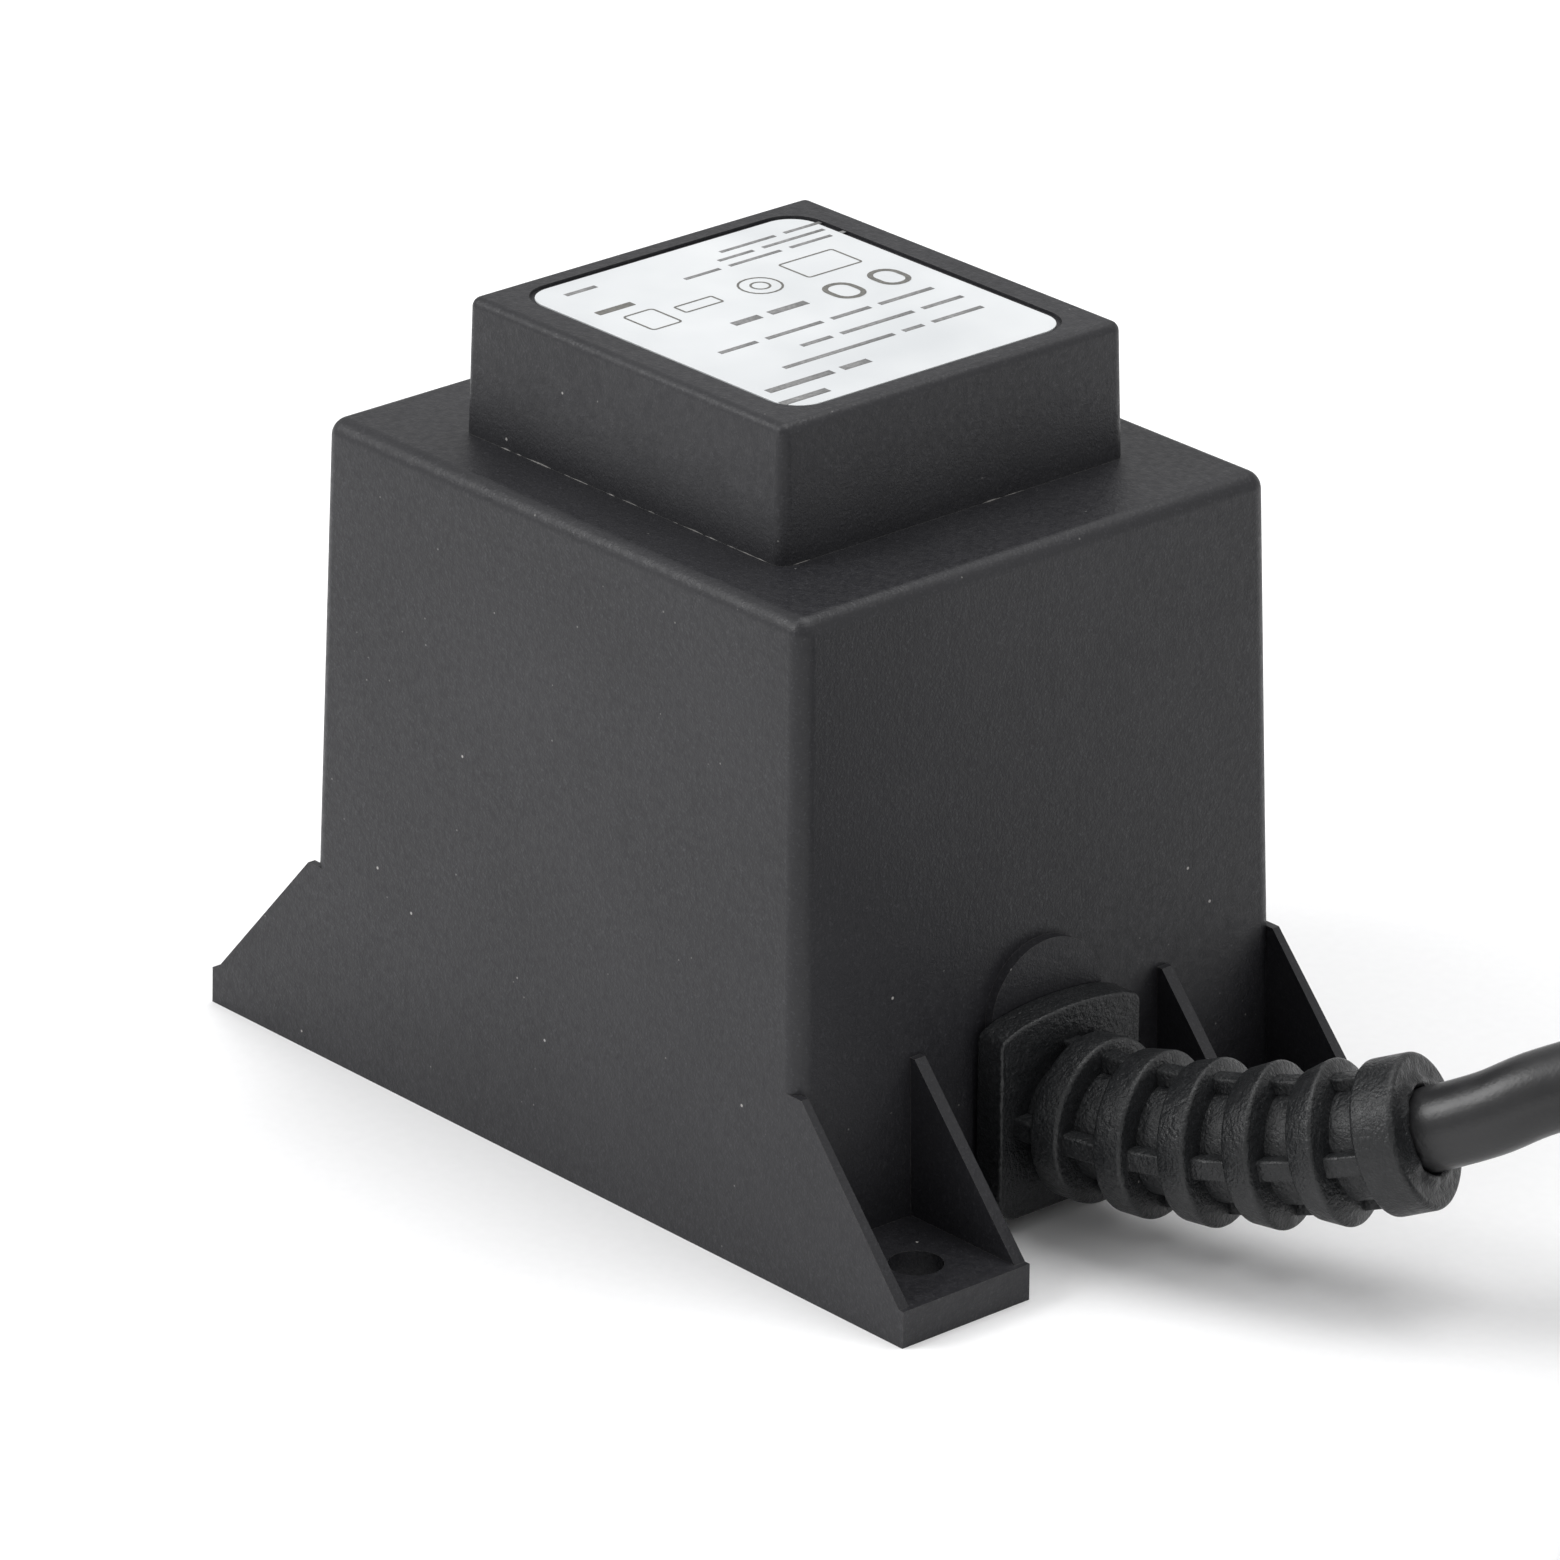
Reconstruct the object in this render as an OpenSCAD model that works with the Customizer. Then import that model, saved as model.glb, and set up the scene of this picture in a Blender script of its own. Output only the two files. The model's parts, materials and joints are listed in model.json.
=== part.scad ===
// Potted garden transformer block with a moulded mains lead.
// Open-bottom plastic box filled with resin round a laminated core,
// four screw feet, a ribbed strain relief and a lead that ends in a plug.

/* [Housing] */
// Room between the core and the wall along X, at the ledge
core_room_x = 1.5; // [0.8:0.05:6]
// Room between the core and the wall along Y, at the ledge
core_room_y = 1.55; // [0.8:0.05:6]
// Height of the top ledge above the base
body_h = 62.8; // [50:0.2:90]
// Draft of the side walls in degrees
body_draft = 1.38; // [0.5:0.02:3]
// Thickness of the walls and of the ledge
wall = 2.5; // [1.8:0.1:4]
// Rounding of the upright edges
edge_r = 1.7; // [0.8:0.1:4]
// Rounding of the top edges
top_r = 1.75; // [0.8:0.05:3]

/* [Boss] */
// Room between the bobbin and the boss wall along X
boss_room_x = 1.15; // [0.8:0.05:4]
// Room between the terminal rails and the boss wall along Y
boss_room_y = 0.65; // [0.4:0.05:4]
// Room between the bobbin and the roof of the boss
boss_head = 5.75; // [1:0.05:10]
// Draft of the boss walls in degrees
boss_draft = 1.8; // [0.5:0.1:4]
// Rounding of the boss top edges
boss_top_r = 1; // [0.5:0.1:2]
// Rounding of the boss upright edges
boss_edge_r = 1.5; // [0.6:0.1:4]

/* [Feet] */
// Reach of the feet beyond the foot of the end walls
foot_reach = 14.1; // [10:0.1:22]
// Width of one foot along Y
foot_w = 15; // [11:0.1:20]
// Thickness of the foot plates
foot_t = 3.5; // [2:0.1:6]
// Height of the gussets where they meet the wall
gusset_h = 18.7; // [12:0.1:30]
// Thickness of the gussets
gusset_t = 1.25; // [0.8:0.05:3]
// Diameter of the screw holes
screw_d = 5; // [3:0.1:6]
// Distance from the foot of the wall to the hole's centre
screw_out = 7.5; // [6:0.1:9]

/* [Lead entries] */
// Height of the lead axis above the base
axis_z = 10.6; // [9.5:0.1:14]
// Width of the slot in the wall
slot_w = 10; // [9:0.1:12]
// Width of the arched pad round the slot
pad_w = 13.2; // [12:0.1:18]
// Height of the middle of the pad's arch
pad_arch_z = 19.3; // [16:0.1:24]
// How far the pad stands out from the foot of the wall
pad_out = 0.4; // [0.2:0.05:1.5]
// Width of the outer plate
plate_w = 16.8; // [14:0.1:20]
// Height of the outer plate at its corners
plate_h = 18; // [14:0.1:20]
// Rise of the arched top of the plate
plate_crown = 1.1; // [0.4:0.1:3]
// Thickness of the outer plate
plate_t = 3.3; // [2:0.1:5]
// Gap below the outer plate
plate_lift = 1.5; // [0.8:0.1:3]
// Corner radius at the foot of the plate
plate_r = 2.4; // [1:0.1:4]
// Width of the flange inside the wall
flange_w = 15; // [13:0.1:18]
// Thickness of the flange inside the wall
flange_t = 2.2; // [1.5:0.1:4]

/* [Strain relief] */
// Number of plain rings before the end collar
ring_count = 5; // [5:1:5]
// Pitch of the rings
ring_pitch = 6.2; // [5.4:0.1:7]
// Width of one ring
ring_w = 3.1; // [2.4:0.1:4]
// Diameter of the first ring
ring_d1 = 15.2; // [14:0.1:18]
// Diameter of the end collar
ring_d2 = 14.1; // [13:0.1:16]
// Length of the end collar
collar_l = 4.2; // [3:0.1:6]
// Gap between the outer plate and the first ring
ring_first = 1.5; // [1:0.1:3]
// Diameter of the sleeve inside the rings
sleeve_d = 10.4; // [9.6:0.1:12]
// Width of the ribs that join the rings
rib_w = 2; // [1.2:0.1:3]
// Depth of the ribs below the rings
rib_drop = 0.7; // [0.3:0.1:1.2]

/* [Lead] */
// Diameter of the lead
cord_d = 7.6; // [6:0.1:8.2]
// Middle diameter of the coil
coil_mid_d = 76; // [70:1:96]
// Turns side by side in the coil
coil_cols = 3; // [2:1:3]
// Layers of turns in the coil
coil_rows = 2; // [2:1:3]
// Width of the tie round the coil
tie_w = 4; // [2:0.5:8]
// Thickness of the tie
tie_t = 1; // [0.6:0.1:2]
// Clearance of the lead in moulded pieces
lead_fit = 0.05; // [0.02:0.01:0.2]

/* [Core] */
// Length of the laminations along X
core_w = 57; // [50:0.5:66]
// Thickness of one pack of laminations
lam_t = 1; // [0.5:0.5:2]
// Number of packs in the stack
lam_count = 24; // [16:1:26]
// Varnish gap between packs
lam_gap = 0.04; // [0.02:0.01:0.08]
// Gap between the stack and the ledge above it
core_drop = 1; // [0.5:0.1:3]

/* [Bobbin and windings] */
// Clearance between the middle leg and the bobbin
bobbin_fit = 0.25; // [0.15:0.05:0.4]
// Wall of the bobbin tube
bobbin_t = 1; // [0.8:0.1:1.4]
// Thickness of the bobbin flanges
cheek_t = 1; // [0.8:0.1:1.5]
// Room in the core's window that the winding leaves free
winding_room = 1.85; // [1.2:0.05:4]
// Part of the winding space filled by the primary
primary_fill = 0.86; // [0.6:0.01:0.95]
// Part of the winding space filled by the secondary
secondary_fill = 0.9; // [0.6:0.01:0.95]
// Thickness of the wrap over a winding
wrap_t = 0.3; // [0.2:0.05:0.6]
// Height of the terminal rails
rail_h = 4; // [3:0.5:6]
// Diameter of the terminal pins
post_d = 1.2; // [0.8:0.1:1.6]
// Free length of the terminal pins
post_l = 6; // [4:0.5:9]
// Distance of the terminal pins from the middle along X
post_x = 9; // [6:0.5:14]

/* [Wiring] */
// Diameter of an insulated core of the lead
core_wire_d = 2.5; // [2:0.1:3]
// Distance between the two cores at the end of the jacket
core_wire_gap = 2.9; // [2.6:0.1:4]
// Length of jacket inside the wall
jacket_in = 7.5; // [4:0.5:10]
// Diameter of the thermal fuse
fuse_d = 4; // [3:0.1:5]
// Length of the thermal fuse body
fuse_l = 11; // [9:0.5:14]
// Wall of the sleeve over the fuse
fuse_sleeve_t = 0.5; // [0.3:0.1:0.8]
// Gap between the fuse sleeve and the winding wrap above it
fuse_drop = 0.6; // [0.2:0.1:2]

/* [Resin] */
// Depth of the resin surface inside the base
resin_dip = 1.2; // [0.5:0.1:4]

/* [Label] */
// Rim of the boss beside the label along X
label_rim_x = 2.8; // [1.5:0.05:6]
// Rim of the boss beside the label along Y
label_rim_y = 3.85; // [1.5:0.05:6]
// Thickness of the label
label_t = 0.2; // [0.1:0.05:0.4]
// Corner radius of the label
label_r = 3; // [1:0.1:6]
// Margin of the pocket round the label
pocket_gap = 0.5; // [0.2:0.1:1.5]
// Depth of the pocket
pocket_h = 0.35; // [0.2:0.05:0.8]

/* [Plug] */
// Diameter of the round front of the plug
plug_d = 36; // [34:0.5:40]
// Depth of the round front of the plug
plug_front_l = 17; // [14:0.5:24]
// Length of the tapered grip of the plug
plug_grip_l = 20; // [18:0.5:32]
// Diameter of the grip at its end
plug_grip_d = 17; // [14:0.5:22]
// Length of the neck on the lead
plug_neck_l = 12; // [10:0.5:24]
// Diameter of the neck at its end
plug_neck_d = 10; // [9.5:0.1:12]
// Diameter of the plug pins
pin_d = 4.8; // [4.7:0.1:4.9]
// Length of the plug pins in front of the plug
pin_l = 19; // [18.5:0.1:19.5]
// Distance between the plug pins
pin_pitch = 19; // [18:0.5:19.5]
// Thickness of the pin holder
holder_t = 4; // [3:0.5:6]
// Distance between the flats on the plug front
plug_flat_w = 30; // [28:0.5:34]

/* [Hidden] */
$fn = 96;
tan_b = tan(body_draft);
tan_t = tan(boss_draft);
leg_w = core_w / 3;
yoke_w = core_w / 6;
e_depth = core_w * 2 / 3;
core_d = e_depth + yoke_w;
window_l = e_depth - yoke_w;
window_w = (core_w - leg_w - 2 * yoke_w) / 2;
stack_h = lam_count * (lam_t + lam_gap) - lam_gap;
stack_z0 = body_h - wall - core_drop - stack_h;
stack_z = stack_z0 + stack_h / 2;
winding_h = window_w - bobbin_fit - bobbin_t - winding_room;
tube_in_w = leg_w + 2 * bobbin_fit;
tube_in_h = stack_h + 2 * bobbin_fit;
tube_w = tube_in_w + 2 * bobbin_t;
tube_h = tube_in_h + 2 * bobbin_t;
cheek_w = tube_w + 2 * winding_h + 1;
cheek_h = tube_h + 2 * winding_h + 1;
bobbin_l = window_l - 2 * bobbin_fit;
rail_d = 4;
rail_y0 = bobbin_l / 2 - cheek_t;
boss_w = cheek_w + 2 * (boss_room_x + wall);
boss_d = 2 * (rail_y0 + rail_d + boss_room_y + wall);
boss_h = stack_z + cheek_h / 2 + boss_head + wall - body_h;
label_w = boss_w - 2 * label_rim_x;
label_d = boss_d - 2 * label_rim_y;
body_w = core_w + 2 * (wall + core_room_x);
body_d = core_d + 2 * (wall + core_room_y);
base_w = body_w + 2 * tan_b * body_h;
base_d = body_d + 2 * tan_b * body_h;
total_h = body_h + boss_h;
ledge_z = body_h - wall;
boss_base_w = boss_w + 2 * tan_t * boss_h;
boss_base_d = boss_d + 2 * tan_t * boss_h;
roof_z = total_h - wall;
tip_x = base_w / 2 + foot_reach;
pad_x = base_w / 2 + pad_out;
inner_x = base_w / 2 - wall;
jacket_x = inner_x - jacket_in;
flange_x = inner_x - tan_b * (axis_z + flange_w / 2);
plate_x = pad_x + plate_t;
ring_x = plate_x + ring_first;
foot_in_y = base_d / 2 - foot_w;
screw_x = base_w / 2 + screw_out;
screw_y = base_d / 2 - foot_w / 2;

// directions of the bent strain relief, one pair for each pitch: turn and rise in degrees
relief_turn = [9, 15, 18.5, 21.5, 24];
relief_rise = [2, 5.5, 9.5, 13, 17];
collar_turn = 26;
collar_rise = 21;
function heading(turn, rise) = [cos(rise) * cos(turn), cos(rise) * sin(turn), sin(rise)];
function ring_at(i) = i == 0
  ? [ring_x, 0, axis_z]
  : ring_at(i - 1) + ring_pitch * heading(relief_turn[i - 1], relief_rise[i - 1]);
function ring_turn(i) = i < ring_count ? relief_turn[i] : collar_turn;
function ring_rise(i) = i < ring_count ? relief_rise[i] : collar_rise;
function ring_d(i) = ring_d1 + (ring_d2 - ring_d1) * i / ring_count;
collar_at = ring_at(ring_count);
collar_end = collar_at + collar_l * heading(collar_turn, collar_rise);

// floor route of the lead beyond the strain relief
cord_r = cord_d / 2;
coil_r = coil_mid_d / 2;
coil_x = 154.5;
coil_y = 18.5;
coil_enter = 82;
coil_leave = 5;
coil_outer_r = coil_r + cord_r * (coil_cols - 1);
function about_coil(r, turn, z) = [coil_x + r * cos(turn), coil_y + r * sin(turn), z];
function ease(u) = let (w = min(1, max(0, u))) w * w * (3 - 2 * w);
coil_in = about_coil(coil_outer_r, coil_enter, cord_r);
after_collar = [
  collar_end + 6 * heading(30, 24),
  collar_end + 6 * heading(30, 24) + 6 * heading(39, 27.5)
];
run_points = concat(
  [[jacket_x - 8, 0, axis_z], [jacket_x, 0, axis_z], [inner_x - 2, 0, axis_z], [pad_x, 0, axis_z]],
  [for (i = [0:ring_count]) ring_at(i)],
  [collar_end],
  after_collar,
  [
    [88, 23.7, 25.7],
    [95, 31.2, 25.9],
    [101.7, 39, 22.9],
    [108.2, 46.9, 17.4],
    [114.3, 54, 11.8]
  ],
  [
    about_coil(coil_outer_r + cord_d + 0.4, 127.7, 6.5),
    about_coil(coil_outer_r + cord_d + 0.4, 116.7, cord_r + 0.1),
    about_coil(coil_outer_r + 5.5, 105.6, cord_r),
    about_coil(coil_outer_r + 2.1, 94.7, cord_r)
  ],
  [coil_in, about_coil(coil_outer_r, coil_enter - 12, cord_r)]
);

// way from the outermost turn over the top of the coil to the plug
tail_r = 4.2 * cord_d;
tail_sweep = 150;
plug_turn = coil_leave - tail_sweep - 90;
plug_z = coil_rows * cord_d + plug_flat_w / 2 + 0.05;
plug_l = plug_front_l + plug_grip_l + plug_neck_l;
pin_root_d = pin_d - 1.2;
row_z = coil_rows * cord_d - cord_r;
top_z = row_z + cord_d + 0.05;
function tail_z(a) = row_z + (top_z - row_z) * ease((a + 45) / 60)
  + (plug_z - top_z) * ease((a - 15) / (tail_sweep - 15));
function tail_arc(a) = about_coil(coil_outer_r - tail_r, coil_leave, tail_z(a))
  + tail_r * heading(coil_leave - a, 0);
tail_end = tail_arc(tail_sweep);
tail_points = concat(
  [for (a = [-60:15:-15]) about_coil(coil_outer_r, coil_leave - a, tail_z(a))],
  [for (i = [0:12]) tail_arc(tail_sweep * i / 12)],
  [tail_end + 6 * heading(plug_turn, 0), tail_end + 14 * heading(plug_turn, 0)]
);

// spline through the points, from the second to the last but one
function spline(p, i, t) = 0.5 * (
  2 * p[i]
  + (p[i + 1] - p[i - 1]) * t
  + (2 * p[i - 1] - 5 * p[i] + 4 * p[i + 1] - p[i + 2]) * t * t
  + (3 * p[i] - p[i - 1] - 3 * p[i + 1] + p[i + 2]) * t * t * t
);
function unit(v) = v / norm(v);
function swept(p, r, sides, steps) = let (
  n = len(p) - 3,
  line = [for (i = [1:n]) for (k = [0:steps - 1]) spline(p, i, k / steps), p[n + 1]],
  m = len(line)
) [
  for (j = [0:m - 1]) let (
    along = unit(line[min(j + 1, m - 1)] - line[max(j - 1, 0)]),
    side = unit(cross([0.4, -0.3, 0.85], along)),
    rise = cross(along, side)
  ) for (k = [0:sides - 1]) line[j] + r * (cos(360 * k / sides) * side + sin(360 * k / sides) * rise)
];

chamber_l = (bobbin_l - 3 * cheek_t) / 2;
chamber_y = cheek_t / 2 + chamber_l / 2;
post_y = rail_y0 + rail_d / 2;
rail_z = stack_z - cheek_h / 2;
post_z = rail_z - post_l;
fuse_z = stack_z - tube_h / 2 - winding_h * primary_fill - wrap_t - fuse_drop - fuse_d / 2 - fuse_sleeve_t;
fuse_y = chamber_y;
fuse_sleeve_l = fuse_l + 4;
lead_d = 0.9;
live_points = [
  [jacket_x + 5, core_wire_gap / 2, axis_z],
  [jacket_x, core_wire_gap / 2, axis_z],
  [jacket_x - 4, core_wire_gap / 2 + 0.6, axis_z + 0.4],
  [jacket_x - 8, (core_wire_gap / 2 + fuse_y) / 2, (axis_z + fuse_z) / 2],
  [fuse_sleeve_l / 2 + 5, fuse_y, fuse_z - 0.4],
  [fuse_sleeve_l / 2 + 2, fuse_y, fuse_z],
  [fuse_sleeve_l / 2 - 4, fuse_y, fuse_z]
];
neutral_points = [
  [jacket_x + 5, -core_wire_gap / 2, axis_z],
  [jacket_x, -core_wire_gap / 2, axis_z],
  [jacket_x - 5, -core_wire_gap / 2 - 0.5, axis_z - 0.5],
  [post_x + 3, 0, axis_z - 2.5],
  [post_x, 7, axis_z - 3],
  [post_x, post_y - 3, axis_z - 1],
  [post_x, post_y, post_z - 4],
  [post_x, post_y, post_z],
  [post_x, post_y, post_z + 4]
];
link_points = [
  [-fuse_sleeve_l / 2 + 2, fuse_y, fuse_z],
  [-fuse_sleeve_l / 2 - 2, fuse_y, fuse_z],
  [-fuse_sleeve_l / 2 - 4, fuse_y + 1, fuse_z - 1],
  [-post_x, post_y - 2, post_z - 3],
  [-post_x, post_y, post_z - 1.5],
  [-post_x, post_y, post_z],
  [-post_x, post_y, post_z + 4]
];

module rounded(w, h, r) {
  square([w - 2 * r, h], center = true);
  square([w, h - 2 * r], center = true);
  for (sx = [-1, 1]) {
    for (sy = [-1, 1]) {
      translate([sx * (w / 2 - r), sy * (h / 2 - r)])
        circle(r);
    }
  }
}

module frustum(w0, d0, z0, w1, d1, z1) {
  polyhedron(
    points = [
      [-w0 / 2, -d0 / 2, z0], [w0 / 2, -d0 / 2, z0], [w0 / 2, d0 / 2, z0], [-w0 / 2, d0 / 2, z0],
      [-w1 / 2, -d1 / 2, z1], [w1 / 2, -d1 / 2, z1], [w1 / 2, d1 / 2, z1], [-w1 / 2, d1 / 2, z1]
    ],
    faces = [
      [0, 1, 2, 3], [4, 7, 6, 5], [0, 4, 5, 1], [1, 5, 6, 2], [2, 6, 7, 3], [3, 7, 4, 0]
    ]
  );
}

// drafted block with rounded upright and top edges, standing on z0
module drafted_block(w, d, z0, z1, slope, side_r, crest_r) {
  grow = slope * (z1 - z0);
  hull() {
    for (sx = [-1, 1]) {
      for (sy = [-1, 1]) {
        translate([sx * (w / 2 + grow - side_r), sy * (d / 2 + grow - side_r), z0])
          cylinder(r = side_r, h = 0.01, $fn = 32);
        translate([sx * (w / 2 - crest_r), sy * (d / 2 - crest_r), z1 - crest_r])
          sphere(crest_r, $fn = 32);
      }
    }
  }
}

module gusset() {
  rotate([90, 0, 0])
    linear_extrude(gusset_t)
      polygon([
        [base_w / 2 - wall, foot_t - 0.5],
        [tip_x - 0.6, foot_t - 0.5],
        [tip_x - 0.6, foot_t],
        [body_w / 2 + tan_b * (body_h - gusset_h) + 0.6, gusset_h],
        [base_w / 2 - wall, gusset_h]
      ]);
}

module foot() {
  difference() {
    union() {
      translate([inner_x, foot_in_y, 0])
        cube([tip_x - inner_x, foot_w, foot_t]);
      translate([0, foot_in_y + gusset_t, 0])
        gusset();
      translate([0, base_d / 2, 0])
        gusset();
    }
    translate([screw_x, screw_y, -1])
      cylinder(d = screw_d, h = foot_t + 2);
  }
}

module four_ways() {
  for (sx = [0, 1]) {
    for (sy = [0, 1]) {
      mirror([sx, 0, 0])
        mirror([0, sy, 0])
          children();
    }
  }
}

module pad() {
  translate([inner_x, 0, 0])
    rotate([90, 0, 90])
      linear_extrude(pad_x - inner_x) {
        translate([-pad_w / 2, 0])
          square([pad_w, pad_arch_z]);
        translate([0, pad_arch_z])
          circle(d = pad_w);
      }
}

module slot(w, x0, x1, z0) {
  translate([x0, 0, 0])
    rotate([90, 0, 90])
      linear_extrude(x1 - x0) {
        translate([-w / 2, z0])
          square([w, axis_z - z0]);
        translate([0, axis_z])
          circle(d = w);
      }
}

module cavity(z0) {
  union() {
    frustum(
      base_w - 2 * wall - 2 * tan_b * z0, base_d - 2 * wall - 2 * tan_b * z0, z0,
      body_w + 2 * tan_b * wall - 2 * wall, body_d + 2 * tan_b * wall - 2 * wall, ledge_z
    );
    frustum(
      boss_base_w - 2 * wall, boss_base_d - 2 * wall, ledge_z - 0.5,
      boss_w - 2 * wall + 2 * tan_t * wall, boss_d - 2 * wall + 2 * tan_t * wall, roof_z
    );
  }
}

module housing() {
  color([0.12, 0.12, 0.13])
    difference() {
      union() {
        drafted_block(body_w, body_d, 0, body_h, tan_b, edge_r, top_r);
        drafted_block(boss_w, boss_d, body_h - 2, total_h, tan_t, boss_edge_r, boss_top_r);
        four_ways()
          foot();
        for (s = [0, 1]) {
          mirror([s, 0, 0])
            pad();
        }
      }
      cavity(-1);
      for (s = [0, 1]) {
        mirror([s, 0, 0])
          slot(slot_w, inner_x - 3, pad_x + 1, -1);
      }
      translate([0, 0, total_h - pocket_h])
        linear_extrude(pocket_h + 1)
          rounded(label_w + 2 * pocket_gap, label_d + 2 * pocket_gap, label_r + pocket_gap);
    }
}

module rating_label() {
  color([0.8, 0.8, 0.82])
    translate([0, 0, total_h - pocket_h])
      linear_extrude(label_t)
        rounded(label_w, label_d, label_r);
}

module plate(x0, t) {
  low = plate_lift;
  chord = plate_w / 2;
  crown_r = (chord * chord + plate_crown * plate_crown) / (2 * plate_crown);
  translate([x0, 0, 0])
    rotate([90, 0, 90])
      linear_extrude(t) {
        translate([-plate_w / 2, low + plate_r])
          square([plate_w, plate_h - plate_r]);
        translate([-plate_w / 2 + plate_r, low])
          square([plate_w - 2 * plate_r, plate_r + 1]);
        for (s = [-1, 1]) {
          translate([s * (plate_w / 2 - plate_r), low + plate_r])
            circle(plate_r);
        }
        intersection() {
          translate([0, low + plate_h + plate_crown - crown_r])
            circle(crown_r);
          translate([-plate_w / 2, low + plate_h - 1])
            square([plate_w, plate_crown + 2]);
        }
      }
}

// plate outside, neck in the slot of the wall and flange inside, on the +X wall
module wall_clamp() {
  plate(pad_x, plate_t);
  slot(slot_w, flange_x - 0.01, pad_x + 0.01, 0.2);
  translate([flange_x - flange_t, -flange_w / 2, resin_dip])
    cube([flange_t, flange_w, axis_z + flange_w / 2 - resin_dip]);
}

module aimed(at, turn, rise) {
  translate(at)
    rotate([0, 0, turn])
      rotate([0, 90 - rise, 0])
        children();
}

module relief_rings() {
  for (i = [0:ring_count]) {
    aimed(ring_at(i), ring_turn(i), ring_rise(i))
      cylinder(d = ring_d(i), h = i < ring_count ? ring_w : collar_l);
  }
  for (i = [0:ring_count - 1]) {
    aimed(ring_at(i), ring_turn(i), ring_rise(i))
      translate([0, 0, ring_w / 2])
        relief_ribs(ring_pitch - ring_w / 3, ring_d(i + 1));
  }
  translate([plate_x - 0.5, 0, axis_z])
    rotate([0, 90, 0])
      relief_ribs(ring_first + ring_w / 3, ring_d1);
  cord_tube(
    concat(
      [[pad_x - 8, 0, axis_z], [pad_x + 1, 0, axis_z]],
      [for (i = [0:ring_count]) ring_at(i)],
      [collar_end - 1 * heading(collar_turn, collar_rise), collar_end + 5 * heading(30, 24)]
    ),
    sleeve_d / 2, 16, 1
  );
}

module relief_ribs(l, d) {
  reach = d / 2 - rib_drop;
  translate([-reach, -rib_w / 2, 0])
    cube([2 * reach, rib_w, l]);
  translate([-rib_w / 2, -reach, 0])
    cube([rib_w, 2 * reach, l]);
}

module cord_tube(p, r, sides, steps) {
  points = swept(p, r, sides, steps);
  rings = len(points) / sides;
  polyhedron(
    points = points,
    faces = concat(
      [[for (k = [0:sides - 1]) k]],
      [
        for (j = [0:rings - 2]) for (k = [0:sides - 1]) let (a = j * sides + k, b = j * sides + (k + 1) % sides)
          each [[a, b + sides, b], [a, a + sides, b + sides]]
      ],
      [[for (k = [sides - 1:-1:0]) (rings - 1) * sides + k]]
    )
  );
}

// bore that follows the lead from the flange to the end collar
module relief_bore() {
  cord_tube(
    concat(
      [[jacket_x - 8, 0, axis_z], [jacket_x + 1, 0, axis_z], [inner_x - 2, 0, axis_z], [pad_x, 0, axis_z]],
      [for (i = [0:ring_count]) ring_at(i)],
      [collar_end, after_collar[0], after_collar[1]]
    ),
    cord_r + lead_fit, 12, 1
  );
}

module strain_relief() {
  color([0.1, 0.1, 0.11])
    difference() {
      union() {
        wall_clamp();
        relief_rings();
      }
      relief_bore();
    }
}

module output_grommet() {
  color([0.1, 0.1, 0.11])
    mirror([1, 0, 0])
      difference() {
        union() {
          wall_clamp();
          translate([plate_x - 0.5, 0, axis_z])
            rotate([0, 90, 0])
              cylinder(d = ring_d2, h = 0.5 + ring_first);
        }
        translate([inner_x, 0, axis_z])
          rotate([0, 90, 0])
            cylinder(d = cord_d, h = 30);
      }
}

module e_plate(t) {
  linear_extrude(t) {
    translate([-core_w / 2, -core_d / 2])
      square([core_w, yoke_w]);
    translate([-core_w / 2, -core_d / 2])
      square([yoke_w, e_depth]);
    translate([core_w / 2 - yoke_w, -core_d / 2])
      square([yoke_w, e_depth]);
    translate([-leg_w / 2, -core_d / 2])
      square([leg_w, e_depth]);
  }
}

module e_laminations() {
  color([0.45, 0.46, 0.48])
    for (i = [0:lam_count - 1]) {
      translate([0, 0, stack_z0 + i * (lam_t + lam_gap)])
        mirror([0, i % 2, 0])
          e_plate(lam_t);
    }
}

module i_laminations() {
  color([0.5, 0.5, 0.52])
    for (i = [0:lam_count - 1]) {
      translate([0, 0, stack_z0 + i * (lam_t + lam_gap)])
        mirror([0, i % 2, 0])
          translate([-core_w / 2, core_d / 2 - yoke_w + lam_gap, 0])
            cube([core_w, yoke_w - lam_gap, lam_t]);
    }
}

module ring_block(w, h, hole_w, hole_h, l, y, r) {
  translate([0, y + l / 2, stack_z])
    rotate([90, 0, 0])
      linear_extrude(l)
        difference() {
          if (r > 0) {
            rounded(w, h, r);
          } else {
            square([w, h], center = true);
          }
          square([hole_w, hole_h], center = true);
        }
}

module posts(gap) {
  for (sx = [-1, 1]) {
    for (sy = [-1, 1]) {
      translate([sx * post_x, sy * post_y, post_z])
        cylinder(d = post_d, h = post_l + rail_h - gap);
    }
  }
}

module bobbin() {
  color([0.93, 0.92, 0.86])
    difference() {
      union() {
        ring_block(tube_w, tube_h, tube_in_w, tube_in_h, bobbin_l, 0, 0);
        for (y = [-1, 0, 1]) {
          ring_block(cheek_w, cheek_h, tube_in_w, tube_in_h, cheek_t, y * (bobbin_l - cheek_t) / 2, 0);
        }
        for (s = [0, 1]) {
          mirror([0, s, 0])
            translate([-cheek_w / 2, rail_y0, rail_z])
              cube([cheek_w, rail_d, rail_h]);
        }
      }
      posts(1);
    }
}

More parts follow.
